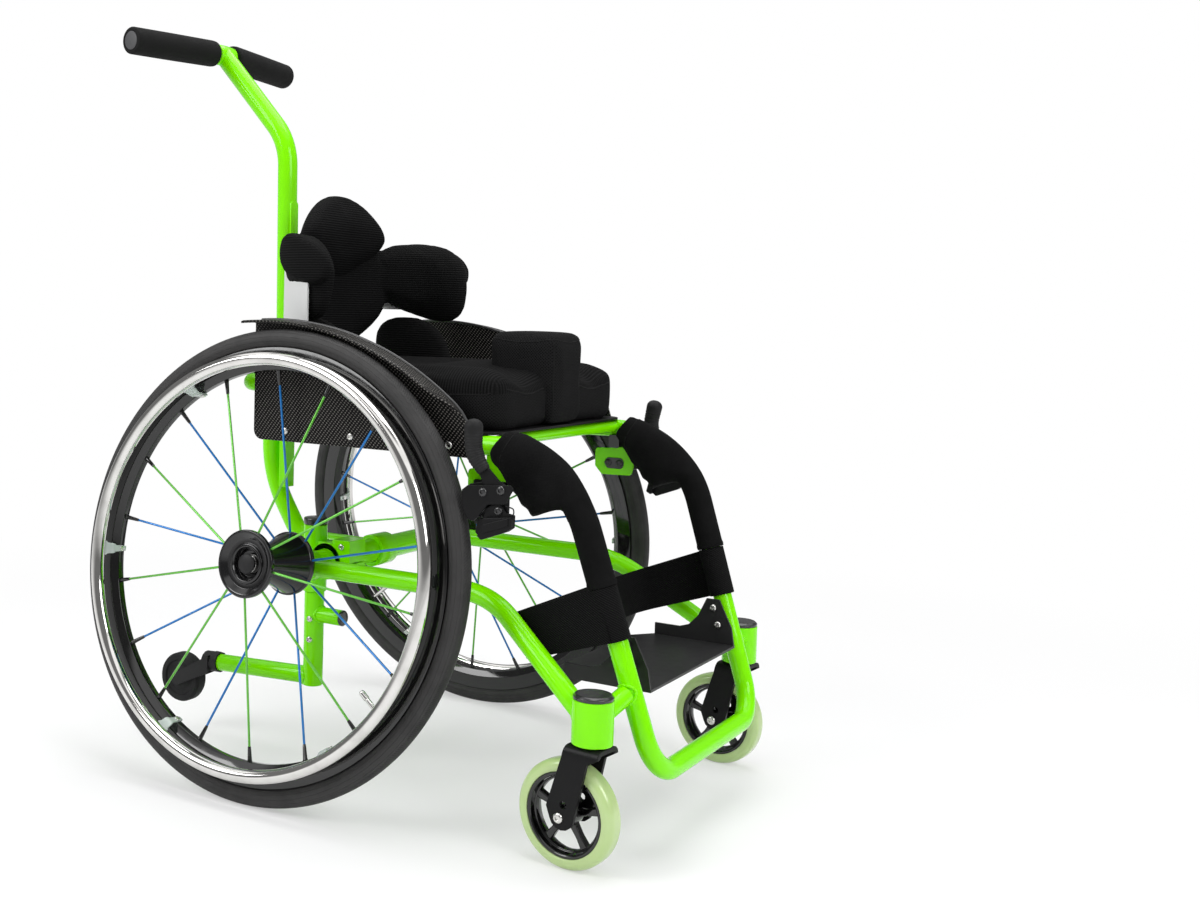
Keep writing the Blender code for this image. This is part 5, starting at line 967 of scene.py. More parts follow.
back_fabric = fabric("back_fabric", lambda cloth: all_round(cloth, ribs(0.0030, 0.0026, True)))
seat_fabric = fabric("seat_fabric", panels)
mesh_fabric = fabric("mesh_fabric", lambda cloth: all_round(cloth, dots(0.0036)))
piping = Finish("piping", (0.008, 0.008, 0.008), 0.8)
piping.surface((0.72, 0.15, 300.0, 3.0), (1400.0, 2.0, 0.0001, 0.7), Specular_IOR_Level=0.15)


def pad_surface(half, power=2.5, fullness=3.0, rows=25, turns=64):
    """Cushion form: a superellipse in plan, crowned above and below.

    At a share s of the way out, the height is (1 - s^fullness)^(1 / fullness); the sides draw in by 3%.
    """
    q = np.linspace(-math.pi / 2, math.pi / 2, rows)[:, None]
    share = np.cos(q) ** 0.8 * (np.abs(q) < math.pi / 2 - 1e-9)
    level = np.sign(q) * (1 - np.clip(share, 0, 1) ** fullness) ** (1 / fullness)
    a = np.linspace(0, math.tau, turns + 1)[None]
    ca = np.sign(np.cos(a)) * np.abs(np.cos(a)) ** (2 / power)
    sa = np.sign(np.sin(a)) * np.abs(np.sin(a)) ** (2 / power)
    drawn = 1 - 0.03 * (1 - (ca * sa) ** 2) * share
    out = drawn * share
    return np.stack([ca * out * half[0], sa * out * half[1], level * half[2] + 0 * a], -1)


def on_shell(grid, angle, height):
    """Maps a pad's own frame to the shell: X along the wall, Y up, Z inwards from the wall's inner face."""
    depth = SHELL_WALL + 0.0006 + grid[..., 2]
    return shell_point(angle + grid[..., 0] / SHELL_ARC, height + grid[..., 1], depth)


def swollen(name, grids, cap, voxel=0.005, pressure=4.0, rounds=6):
    """Foam pad in its cover: its shells are joined into one skin, evened out and blown up as cloth.

    No point of the cloth moves further than the cap.
    """
    holder = bpy.data.objects.new(name, shell_of([g + REAR_AXLE for g in grids]))
    scene.collection.objects.link(holder)
    joined = holder.modifiers.new("skin", "REMESH")
    joined.mode = "VOXEL"
    joined.voxel_size = voxel
    even = holder.modifiers.new("even", "SMOOTH")
    even.factor = 0.5
    even.iterations = rounds
    bpy.context.view_layer.update()
    mesh = bpy.data.meshes.new_from_object(holder.evaluated_get(bpy.context.evaluated_depsgraph_get()))
    holder.modifiers.clear()
    holder.data = mesh
    cloth = holder.modifiers.new("cover", "CLOTH")
    cloth.settings.use_pressure = True
    cloth.settings.uniform_pressure_force = pressure
    cloth.settings.quality = 5
    cloth.settings.mass = 0.2
    cloth.settings.tension_stiffness = 12
    cloth.settings.compression_stiffness = 10
    cloth.settings.shear_stiffness = 6
    cloth.settings.effector_weights.gravity = 0
    cloth.point_cache.frame_start = 1
    cloth.point_cache.frame_end = 20
    for step in range(1, 21):
        scene.frame_set(step)
    blown = bpy.data.meshes.new_from_object(holder.evaluated_get(bpy.context.evaluated_depsgraph_get()))
    before = np.empty(len(mesh.vertices) * 3)
    after = np.empty(len(mesh.vertices) * 3)
    mesh.vertices.foreach_get("co", before)
    blown.vertices.foreach_get("co", after)
    step = (after - before).reshape(-1, 3)
    length = np.linalg.norm(step, axis=1, keepdims=True)
    step *= np.minimum(1, cap / np.maximum(length, 1e-9))
    mesh.vertices.foreach_set("co", (before.reshape(-1, 3) + step).ravel())
    holder.modifiers.clear()
    scene.frame_set(1)
    bpy.data.objects.remove(holder)
    return mesh


def soft(name, mesh, finish, nodes, body="frame"):
    """Adds a padded piece with one level of subdivision."""
    made = add(name, mesh, body, finish, nodes, 0)
    finer = made.modifiers.new("finer", "SUBSURF")
    finer.levels = 1
    finer.render_levels = 1
    return made


def narrowed(pad, share):
    """A pad with its width multiplied by a share for each point."""
    return pad * np.concatenate([share, np.ones_like(share), np.ones_like(share)], -1)


trunk = pad_surface((0.1155, 0.088, 0.016), 2.6, 3.2, 25, 72)
narrow = 1 - 0.40 * (1 - smooth(0.600 + trunk[..., 1:2], 0.492, 0.575))
trunk_pads = [on_shell(narrowed(trunk, narrow) + (0, 0, 0.018), 0.0, 0.600)]
for side, end, flap_end in ((-1, 93, 98.5), (1, 107, 101)):
    reach = math.radians(end - 35) / 2 * SHELL_ARC
    inner_pad = pad_surface((reach, 0.0555, 0.0175), 2.6, 3.0, 21, 56)
    along = side * inner_pad[..., 0] / reach
    inner_pad[..., 1] *= 0.92 + 0.12 * smooth(along, -0.6, 0.8)
    inner_pad[..., 1] -= 0.011 * along
    trunk_pads.append(on_shell(inner_pad + (0, 0, 0.0175), math.radians(end + 35) / 2 * side, 0.6115))
    flap = pad_surface((math.radians(flap_end - 53) / 2 * SHELL_ARC, 0.0285, 0.0115), 2.4, 5.0, 21, 56)
    flap[..., 1] -= side * 0.2 * flap[..., 0]
    trunk_pads.append(on_shell(flap + (0, 0, -0.0010), math.radians(flap_end + 53) / 2 * side, 0.6320))
soft("trunk_cushion", swollen("trunk", trunk_pads, 0.004, 0.0045, 3.0, 7), back_fabric,
     ["back_cushion", "right_lateral_pad", "left_lateral_pad"])
lobe = pad_surface((0.1110, 0.0590, 0.0210), 2.1, 2.6, 25, 64)
lobe_up = lobe[..., 1:2]
lobe_narrow = 1 - 0.36 * smooth(-lobe_up, -0.006, 0.062) - 0.26 * smooth(lobe_up, -0.004, 0.060)
lobe_on = on_shell(narrowed(lobe, lobe_narrow) + (0, 0, 0.0215), -0.090, 0.6610)
lobe_on[..., 0] += 0.018 * smooth(lobe_on[..., 2], 0.606, 0.722) + 0.004
soft("top_lobe", swollen("lobe", [lobe_on], 0.004, 0.0045, 3.0, 4), back_fabric, [])

# Seat
# A thin black pan on the rails carries a contoured foam cushion: a dip for the seat, a trough for each
# thigh, a block between the thighs and an upright pad beside each hip, all in black spacer fabric.
PAN_BOTTOM = RAIL_HEIGHT + FRAME_TUBE + 0.0003
CUSHION_BOTTOM = PAN_BOTTOM + 0.0033
CUSHION_TOP = 0.509
BLOCK_REAR = 0.176
BLOCK_FRONT = 0.2695
BLOCK_TOP = 0.549
HIP_PAD_TOP = 0.563
pan_outline = bent([(0.10, -0.172), (0.262, -0.172), (0.262, 0.172), (-0.024, 0.172), (-0.024, -0.172),
                    (0.10, -0.172)], [0.02, 0.02, 0.004, 0.004], 6)[:-1]
pan = plate(pan_outline, PAN_BOTTOM, PAN_BOTTOM + 0.003)
piece("pan", [pan], "frame", satin, ["seat_pan"], bevel=0.0006)


def cushion_surface():
    """Seat cushion: a rounded block, narrower at the hip pads, with a dip behind and two troughs."""
    half_height = (CUSHION_TOP - CUSHION_BOTTOM) / 2
    pad = pad_surface((0.1705, 1.0, half_height), 11.0, 6.5, 41, 144)
    x = pad[..., 0] + 0.095
    y = pad[..., 1]
    width = 0.100 + 0.0625 * smooth(x, 0.0385, 0.0805)
    z = np.where(pad[..., 2] < 0, np.maximum(pad[..., 2], -half_height * 0.86) / 0.86, pad[..., 2])
    trough = 0.016 * np.exp(-((np.abs(y) - 0.5) / 0.22) ** 2) * smooth(x, 0.02, 0.14)
    dip = 0.012 * np.exp(-(y / 0.6) ** 2) * (1 - smooth(x, 0.05, 0.16))
    z = z - (trough + dip) * np.clip(pad[..., 2] / (0.5 * half_height), 0, 1)
    return np.stack([x, y * width, z + CUSHION_BOTTOM + half_height + 0.0002], -1)


def seam(mesh, path, name, finish, size=0.0008, into=0.0002):
    """Sewn seam: a thin bead along a path of points, each dropped onto the nearest place of a cover."""
    tree = BVHTree.FromPolygons([v.co for v in mesh.vertices], [p.vertices for p in mesh.polygons])
    spots = []
    for point in np.asarray(path, float) + REAR_AXLE:
        place, normal, _, _ = tree.find_nearest(Vector(point))
        spots.append(place - normal * into)
    line = np.array(spots) - REAR_AXLE
    for _ in range(3):
        line[1:-1] = (line[:-2] + 2 * line[1:-1] + line[2:]) / 4
    return piece(name, [bar(line, size, (0.31, 0.22, 0.92), size * 0.5, 8)], "frame", finish)


def along_line(count, x, y, z):
    """Points of a line: each of x, y and z is one value for all of them or has a value for each."""
    return np.stack([np.broadcast_to(part, count) for part in (x, y, z)], -1)


cushion_mesh = swollen("cushion", [cushion_surface()], 0.004, 0.0045, 3.0, 3)
soft("contoured_cushion", cushion_mesh, seat_fabric, ["seat_cushion"])
block_half = np.array(((BLOCK_FRONT - BLOCK_REAR) / 2, 0.0395, (BLOCK_TOP - CUSHION_BOTTOM) / 2))
block = pad_surface(block_half, 8.0, 8.0, 41, 96)
block = block + ((BLOCK_FRONT + BLOCK_REAR) / 2, 0, CUSHION_BOTTOM + block_half[2] + 0.0002)
block_mesh = swollen("block", [block], 0.0015, 0.004, 2.0, 2)
soft("thigh_block", block_mesh, mesh_fabric, ["pommel"])
for name, side in SIDES.items():
    half_height = (HIP_PAD_TOP - CUSHION_BOTTOM) / 2
    pad = pad_surface((0.0615, half_height, 0.0125), 2.5, 3.0, 21, 56)
    lean_back = -0.25 * (pad[..., 1] - half_height * 0.4)
    hip = np.stack([-0.031 + pad[..., 0] + lean_back, side * (0.116 + pad[..., 2]),
                    pad[..., 1] + CUSHION_BOTTOM + half_height + 0.0002], -1)
    soft(name + "_hip_cushion", swollen("hip", [hip], 0.0025, 0.004, 3.0, 3), back_fabric,
         [name + "_hip_pad"])

    walk = np.linspace(0.045, 0.268, 40)
    beside = along_line(40, walk, side * 0.175, THIGH_SEAM + THIGH_SEAM_RISE * smooth(walk, 0.247, 0.290))
    before = along_line(20, 0.300, side * np.linspace(0.150, 0.044, 20), THIGH_SEAM + THIGH_SEAM_RISE * 0.55)
    seam(cushion_mesh, np.vstack([beside, before]), name + "_thigh_seam", piping)
    climb = along_line(20, 0.274, side * 0.044, np.linspace(CUSHION_BOTTOM + 0.008, 0.538, 20))
    seam(block_mesh, climb, name + "_block_seam", piping)
ring = np.linspace(0, math.tau, 90)[:-1] + math.pi
block_rim = along_line(89, 0.2228 + 0.060 * np.cos(ring), 0.055 * np.sin(ring), 0.543)
seam(block_mesh, block_rim, "block_rim_seam", piping)

# Side guards
# Pressed carbon twill panels under clear lacquer, screwed to the seat rails, with a lip over each tyre. The
# top edge is an arc round GUARD_ARC, rounded off into the front edge.
GUARD_Y = 0.1845
GUARD_REAR = -0.062
GUARD_FRONT = 0.243
GUARD_BOTTOM = 0.411
GUARD_CORNER = 0.022
GUARD_ARC = (-0.0275, 0.1636)
GUARD_ARC_RADIUS = 0.3926
LIP_THICKNESS = 0.0024
LIP_Y = GUARD_Y - 0.0010
carbon = Finish("carbon_twill", (0.02, 0.02, 0.02), 0.3)
x, y, z = carbon.parts(carbon)
level = carbon.parts(carbon.other("Normal"))[2].math("ABSOLUTE").between(0.5, 0.8)
b = z * (1 - level) + y * level
tows_and_glints = ((x + 0.35 * b) * (math.tau / 0.0052)).math("COSINE") * (b * (math.tau / 0.0046)).math("COSINE")
tows_and_glints = tows_and_glints.between(0.22, 0.72)
carbon.bump(tows_and_glints, 0.0004, 0.6)
# Painted glints: the raised tows are coloured light brown-grey, standing in for light reflected off the
# fibres, on a near-black ground.
carbon.set({
    "Base Color": tows_and_glints.colour((0.0015, 0.0015, 0.0015), (0.150, 0.142, 0.130)),
    "Roughness": 0.44 - 0.12 * tows_and_glints, "Coat Weight": 0.06, "Coat Roughness": 0.10, "Specular IOR Level": 0.10,
})
lip_edge = Finish("lacquered_edge", (0.030, 0.030, 0.031), 0.3)
lip_edge.surface((0.24, 0.16, 120.0, 4.0), (900.0, 2.0, 0.00004, 0.6))


def guard_top(x):
    """Height of the guard's curved top edge."""
    corner = np.clip((x - GUARD_FRONT + GUARD_CORNER) / GUARD_CORNER, 0, 1)
    arc = GUARD_ARC[1] + np.sqrt(GUARD_ARC_RADIUS ** 2 - (x - GUARD_ARC[0]) ** 2)
    return arc - GUARD_CORNER * (1 - np.sqrt(1 - corner ** 2))


places = np.linspace(GUARD_FRONT, GUARD_REAR, 41)
tops = guard_top(places)
guard_outline = np.vstack([
    np.stack([places, tops], -1),
    bent([(GUARD_REAR, 0.46), (GUARD_REAR, GUARD_BOTTOM), (GUARD_FRONT, GUARD_BOTTOM)], [0.012], 6),
])
q = np.linspace(0, 1, 9)[None]
lip_reach = 0.0245 * (1 - smooth(places, 0.190, 0.238)) + 0.0004
lip_swept = 0.0045 * (1 - smooth(places, GUARD_REAR, -0.030))
lip_roll = 0.0012 * smooth(q, 0.0, 0.12) - 0.0012 * smooth(q, 0.85, 1.0)
screw_height = RAIL_HEIGHT - 0.001
for name, side in SIDES.items():
    panel = plate(guard_outline, -0.0015, 0.0015, standing(), (0, side * GUARD_Y, 0))
    piece(name + "_guard_panel", [panel], "frame", carbon, [name + "_side_guard"], 30, 0.0005)
    top_face = np.stack([places[:, None] - lip_swept[:, None] * q, side * (LIP_Y + lip_reach[:, None] * q),
                         tops[:, None] - 0.0012 + lip_roll], -1)
    under_face = top_face - (0, 0, LIP_THICKNESS)
    lip = np.concatenate([top_face, under_face[:, ::-1], top_face[:, :1]], 1)
    piece(name + "_guard_lip", [lip, *closed_ends(lip)], "frame", carbon, sharp=50)
    edge = along_line(39, places[1:-1], side * LIP_Y, tops[1:-1] + 0.0002)
    piece(name + "_guard_edge", [bar(edge, 0.0019, (0, 1, 0), 0.0008, 12)], "frame", lip_edge)
    screws = []
    for place in (-0.014, 0.081, 0.214):
        screws.append(dome_screw(0.0044, 0.0022, facing(side),
                                 (place, side * (GUARD_Y + 0.0015), screw_height)))
        shank = [(place, side * (RAIL_Y + FRAME_TUBE - 0.001), screw_height),
                 (place, side * (GUARD_Y - 0.0014), screw_height)]
        screws.append(bar(shank, 0.0040, (0, 0, 1), 0.0004, 20))
    piece(name + "_guard_screws", screws, "frame", screw_steel)

# Knee guards and calf strap
# Padded jersey sleeves are zipped round the knee bends, full and low under the bend. A wide webbing strap
# wraps both legs and runs back behind the calves.
SLEEVE_REAR = 0.2645
SLEEVE_END = 0.2848
SLEEVE_POINTS = 60
jersey = Finish("black_jersey", (0.006, 0.006, 0.006), 0.9)
along, around, _ = jersey.parts(jersey.other("UV"))
fine = (along * (math.tau / 0.0016)).math("SINE") * (around * (math.tau / 0.0022)).math("SINE")
creases = jersey.noise(46.0, 4.0)
jersey.bump(fine * 0.22 + creases, 0.0010, 0.6)
# Painted shade: the jersey is coloured darker in the low places of its knit and in its creases.
jersey.set({"Base Color": (fine * 0.2 + creases).colour((0.002, 0.002, 0.002), (0.0095, 0.0095, 0.0097)),
            "Roughness": 0.84 + 0.1 * creases, "Specular IOR Level": 0.08})
webbing = Finish("strap_webbing", (0.012, 0.012, 0.012), 0.85)
along, around, _ = webbing.parts(webbing.other("UV"))
twill = ((along + around) * (math.tau / 0.0030)).math("SINE") * 0.5 + 0.5
webbing.bump(twill + 0.5 * webbing.noise(60.0, 3.0), 0.0005, 0.7)
webbing.surface((0.75, 0.15, 220.0, 3.0), Specular_IOR_Level=0.08)
# Painted shade: the webbing is coloured darker in the grooves of its twill.
webbing.set({"Base Color": twill.colour((0.0015, 0.0015, 0.0015), (0.0105, 0.0105, 0.0107))})


def evened(path, count):
    """The same path as a count of points, evenly spaced along it."""
    steps = np.concatenate([[0], np.cumsum(np.linalg.norm(np.diff(path, axis=0), axis=1))])
    even = np.linspace(0, steps[-1], count)
    return np.stack([np.interp(even, steps, path[:, k]) for k in range(3)], -1)


def sleeve_grid(side):
    """Sleeve round the knee bend. Its section grows by a crest on top and a bulge underneath."""
    path = rail_path(side)
    keep = (path[:, 0] >= SLEEVE_REAR + 0.010) & (path[:, 2] > 0.310)
    end = leg_point(SLEEVE_END, side)[None]
    path = evened(np.vstack([[(SLEEVE_REAR, side * RAIL_Y, RAIL_HEIGHT)], path[keep], end]), SLEEVE_POINTS)
    share = np.linspace(0, 1, SLEEVE_POINTS)[:, None]
    crest = smooth(share, -0.05, 0.15) * (1 - smooth(share, 0.36, 0.62))
    bulge = 0.62 * smooth(share, -0.05, 0.15) + 0.38 * smooth(share, 0.05, 0.36)
    bulge = bulge * (1 - smooth(share, 0.45, 0.56))
    wall = FRAME_TUBE + 0.0045
    above = wall + (0.0045 if side < 0 else -0.0010) * crest
    below = wall + 0.0345 * bulge
    wide = wall + 0.0025 * (crest + bulge)
    t = np.linspace(0, math.tau, 49)[None]
    fold = 0.0007 * np.sin(share * 46) * smooth(np.sin(t), 0.2, 1.0) * bulge
    hem = 0.0008 * (np.exp(-((share - 0.012) / 0.010) ** 2) + np.exp(-((share - 0.985) / 0.012) ** 2))
    tall = (below - above) / 2 + np.sin(t) * ((above + below) / 2 + fold + hem)
    section = np.stack([np.cos(t) * (wide + fold + hem), tall], -1)
    outside = carried(path, section, (0, -1, 0))
    bore = carried(path, circle(FRAME_TUBE + 0.0006, 48), (0, -1, 0))
    cut_back = 0.009 * (1 - smooth(share, 0, 0.22)) * smooth(-np.sin(t), -0.3, 1.0)
    outside[..., 0] += cut_back
    bore[..., 0] += cut_back
    return outside, bore


for name, side in SIDES.items():
    outside, bore = sleeve_grid(side)
    lips = [np.stack([outside[k], (outside[k] + bore[k]) / 2, bore[k]]) for k in (0, -1)]
    piece(name + "_knee_sleeve", [outside, *lips, bore], "frame", jersey, [name + "_knee_guard"],
          60)
    lowest = int(np.argmin(outside[14, :, 2]))
    stitched = [bar(outside[4, :-1], 0.0006, (0.9, 0.1, 0.3), 0.0003, 8)]
    for offset in (-5, 5):
        stitched.append(bar(outside[3:38, (lowest + offset) % 48], 0.0006, (0, 1, 0), 0.0003, 8))
    piece(name + "_sleeve_seams", stitched, "frame", piping)

STRAP_HEIGHT = 0.257
STRAP_HALF = 0.029
STRAP_HALF_THICKNESS = 0.0017
STRAP_REAR = (0.288, 0.161, 0.215)
leg_up = leg_point(LEG_SPLIT, 1) - leg_point(LOOP_HEIGHT, 1)
strap_up = unit(np.array((leg_up[0], 0, leg_up[2])))
strap_ends = [leg_point(STRAP_HEIGHT, side) + (0, side * (FRAME_TUBE + 0.0023), 0) for side in (-1, 1)]
strap_rears = [np.array(STRAP_REAR) * (1, side, 1) for side in (-1, 1)]
strap_path = evened(bent([strap_ends[0], *strap_rears, strap_ends[1]], [0.030, 0.030], 12), 121)
back_share = (strap_ends[0][0] - strap_path[:, 0]) / (strap_ends[0][0] - STRAP_REAR[0])
strap_half = STRAP_HALF * (1 - 0.12 * back_share)
strap_normal = unit(np.cross(unit(np.gradient(strap_path, axis=0)), strap_up))
band_section = bent([(0, 1), (1, 1), (1, -1), (-1, -1), (-1, 1), (0, 1)], [0.05, 0.05, 0.05, 0.05], 2)
hem_line = 1 + 0.25 * np.exp(-((np.abs(band_section[:, 0]) - 0.86) / 0.05) ** 2)
band = (strap_path[:, None] + strap_up * (band_section[:, 0] * strap_half[:, None])[..., None]
        + strap_normal[:, None] * (band_section[:, 1] * hem_line * STRAP_HALF_THICKNESS)[None, :, None])
wrap_bore = FRAME_TUBE + 0.0009
wrap_corners = [(wrap_bore, 0), (wrap_bore, -STRAP_HALF), (FRAME_TUBE + 0.0038, -STRAP_HALF),
                (FRAME_TUBE + 0.0040, STRAP_HALF), (wrap_bore, STRAP_HALF), (wrap_bore, 0)]
wraps = []
for side in (-1, 1):
    leg_way = unit(leg_point(LEG_SPLIT, side) - leg_point(LOOP_HEIGHT, side))
    square = unit(np.cross(leg_way, (0, 1, 0)))
    wraps.append(turning(wrap_corners, [0.0004, 0.0012, 0.0012, 0.0004], 3, 56,
                         [square, np.cross(leg_way, square), leg_way], leg_point(STRAP_HEIGHT, side)))
piece("leg_strap", [band, *wraps], "frame", webbing, ["calf_strap"], 50)

# Footplate
# Folded sheet, satin black, screwed to the inside of each leg by an ear with two steel screws.
EAR_FACE = 0.125
sheet_black = Finish("powdered_sheet", (0.030, 0.030, 0.031), 0.4)
sheet_black.surface((0.36, 0.12, 90.0, 4.0), (1600.0, 3.0, 0.00005, 0.8),
                    (14.0, 3.0, (0.012, 0.012, 0.0125), (0.022, 0.022, 0.0225)), Specular_IOR_Level=0.35)
dressed("footplate", "frame", sheet_black, "foot_sheet", 0.0006)
screws = []
for side in (-1, 1):
    for height in (0.198, 0.218):
        place = leg_point(height, side) * (1, 0, 1) + (-0.003, side * (EAR_FACE - 0.0018), 0)
        screws.append(dome_screw(0.0042, 0.0024, facing(-side), place))
piece("foot_screws", screws, "frame", screw_steel)

# Casters
# A moulded black wheel with a pale green polyurethane tyre, in a fork bent from flat bar. The fork's stem
# turns in the head tube, and a spare hole above the bolt sets the seat height.
CASTER_RADIUS = 0.0573
CASTER_TRAIL = 0.025
CASTER_TURN = math.radians(-6)
CASTER_BORE = 0.0046
CASTER_BED = 0.0448
CASTER_RIM = 0.0445
CASTER_HALF_WIDTH = 0.0118
CASTER_SPOKES = 5
FORK_FACE = 0.0211
urethane = Finish("pale_urethane", (0.44, 0.60, 0.24), 0.3)
urethane.surface((0.26, 0.18, 150.0, 3.0), (700.0, 2.0, 0.00003, 0.5),
                 (24.0, 3.0, (0.42, 0.57, 0.22), (0.50, 0.65, 0.30)), Coat_Weight=0.8, Coat_Roughness=0.04,
                 Subsurface_Weight=0.25, Subsurface_Scale=0.01, Subsurface_Radius=(0.8, 1.0, 0.5))


def mirrored_corners(half):
    """Corners of a profile that is alike on both sides of level 0, from those of its lower half."""
    return half + [(r, -h) for r, h in half[::-1]]


tyre_half = [(CASTER_BED, 0), (CASTER_BED, -CASTER_HALF_WIDTH), (0.0470, -0.0122),
             (CASTER_RADIUS, -CASTER_HALF_WIDTH)]
rim_half = [(CASTER_RIM, 0), (CASTER_RIM, -0.0112), (0.0420, -0.0114), (0.0405, -0.0100), (0.0392, -0.0050),
            (0.0375, -0.0044)]
hub_half = [(CASTER_BORE, -0.0150), (0.0100, -0.0150), (0.0125, -0.0135)]
bolt_corners = [(0, -FORK_FACE - 0.0001), (0.004, -FORK_FACE - 0.0001), (0.004, FORK_FACE + 0.0001),
                (0, FORK_FACE + 0.0001)]
spoke_path = np.linspace((0.0095, 0, 0), (0.0400, 0, 0), 12)
spoke_widths = np.interp(np.linspace(0, 1, 12), [0, 0.5, 1], [0.0046, 0.0034, 0.0050])
spoke_halves = np.stack([spoke_widths, np.full(12, 0.0042)], -1)
spoke_section = bent([(0, -1), (1, -1), (1, 1), (-1, 1), (-1, -1), (0, -1)], [0.4, 0.4, 0.4, 0.4], 3)
spoke_bar = carried(spoke_path, spoke_section[None] * spoke_halves[:, None], (0, 1, 0))
caster_tyre = turning(mirrored_corners(tyre_half), [0.0008, 0.0030, 0.0080, 0.0080, 0.0030, 0.0008], 8, 96)
caster_wheel = [
    turning(rim_half + [(0.0368, 0)] + mirrored_corners(rim_half)[len(rim_half):],
            [0.0006, 0.0010, 0.0010, 0.001, 0.0008, 0.002, 0.0008, 0.001, 0.0010, 0.0010, 0.0006], 3, 96),
    turning(mirrored_corners(hub_half) + hub_half[:1], [0.0005, 0.0012, 0.0012, 0.0005, 0.0003], 3, 48),
    spun(spoke_bar, math.radians(20) + math.tau * np.arange(CASTER_SPOKES) / CASTER_SPOKES),
]
for name, side in SIDES.items():
    dressed(name + "_caster_fork", name + "_fork", satin, name + "_flat_fork", 0.0012)
    c, s = math.cos(CASTER_TURN), math.sin(CASTER_TURN)
    ahead = np.array((c, s, 0))
    left = np.array((-s, c, 0))
    hub_place = np.array((HEAD_PLACE[0], side * HEAD_PLACE[1], CASTER_RADIUS)) - ahead * CASTER_TRAIL
    columns = np.array([side * ahead, (0, 0, 1), -side * left])
    body = name + "_caster"
    piece(name + "_urethane_tyre", [put(caster_tyre, columns, hub_place)], body, urethane,
          [name + "_caster_tyre"])
    wheel_parts = [put(grid, columns, hub_place) for grid in caster_wheel]
    piece(name + "_moulded_wheel", wheel_parts, body, gloss, [name + "_caster_wheel"])
    bolt = [turning(bolt_corners, [0.0003, 0.0003], 2, 32, columns, hub_place)]
    for way in (-1, 1):
        head_place = hub_place + way * FORK_FACE * columns[2]
        bolt.append(dome_screw(0.0057, 0.0028, columns * [[1], [way], [way]], head_place, 0.45))
    piece(name + "_caster_bolt", bolt, name + "_fork", screw_steel, [name + "_caster_axle"])

# Brakes
# A black bracket bolted to each rail's tab carries a lever with a rubber grip and a cast shoe that presses
# on the tyre.
BAR_HALF = 0.002
SPRING_Y = 0.0062
LEVER_PIVOT = np.array((0.298, 0, 0.388))
SHOE_PIVOT = np.array((0.305, 0, 0.364))
PLATE_OUT = 0.228
TAB_FACE = RAIL_Y + 0.0023
CHEEK_IN = PLATE_OUT + 0.0047
CHEEK_OUT = PLATE_OUT + 0.0077
BRAKE_SCREW_DRIVE = 0.42
lever_rubber = Finish("lever_rubber", (0.013, 0.013, 0.0135), 0.6)
lever_rubber.surface((0.50, 0.2, 110.0, 4.0), (900.0, 3.0, 0.00010, 0.8),
                     (60.0, 3.0, (0.009, 0.009, 0.0095), (0.022, 0.022, 0.0225)), Specular_IOR_Level=0.16)


def rounded(corners, radius, steps=4):
    """Closed outline, each corner rounded by an arc of one radius."""
    start = (np.asarray(corners[0]) + np.asarray(corners[-1])) / 2
    return bent([start, *corners, start], [radius] * len(corners), steps)[:-1]


cheek_outline = rounded([(0.2609, 0.3832), (0.2678, 0.3885), (0.3185, 0.3925), (0.3225, 0.3890),
                         (0.3172, 0.3795), (0.3145, 0.3722), (0.2925, 0.3700), (0.2820, 0.3570),
                         (0.2750, 0.3508), (0.2685, 0.3530), (0.2620, 0.3640)], 0.0014)
carrier_outline = rounded([(0.265, 0.3710), (0.296, 0.3620), (0.305, 0.3560), (0.313, 0.3620),
                           (0.313, 0.3890), (0.298, 0.3960), (0.265, 0.3890)], 0.0020)
foot_outline = rounded([(0.238, 0.3655), (0.279, 0.3655), (0.279, 0.3865), (0.238, 0.3865)], 0.002)
arm_outline = rounded([(0.265, 0.3710), (0.279, 0.3710), (0.279, 0.3865), (0.265, 0.3865)], 0.002)
shoe_outline = rounded([(0.2880, 0.3655), (0.2965, 0.3700), (0.3060, 0.3715), (0.3120, 0.3630),
                        (0.3225, 0.3612), (0.3222, 0.3480), (0.3158, 0.3435), (0.2869, 0.3324),
                        (0.2815, 0.3365), (0.2852, 0.3532)], 0.0012)
wedge_outline = rounded([(0.2895, 0.3560), (0.3225, 0.3600), (0.3222, 0.3480), (0.3158, 0.3435),
                         (0.2869, 0.3324), (0.2822, 0.3360), (0.2862, 0.3468)], 0.0012)
rib_outline = rounded([(0.2882, 0.3490), (0.3195, 0.3590), (0.3195, 0.3505), (0.2885, 0.3395)], 0.0010)
pad_outline = rounded([(0.2868, 0.3540), (0.2800, 0.3545), (0.2762, 0.3385), (0.2830, 0.3345)], 0.0015)
spring_corners = ((0.3135, 0.3702), (0.3230, 0.3686), (0.3234, 0.3635), (0.3200, 0.3590))
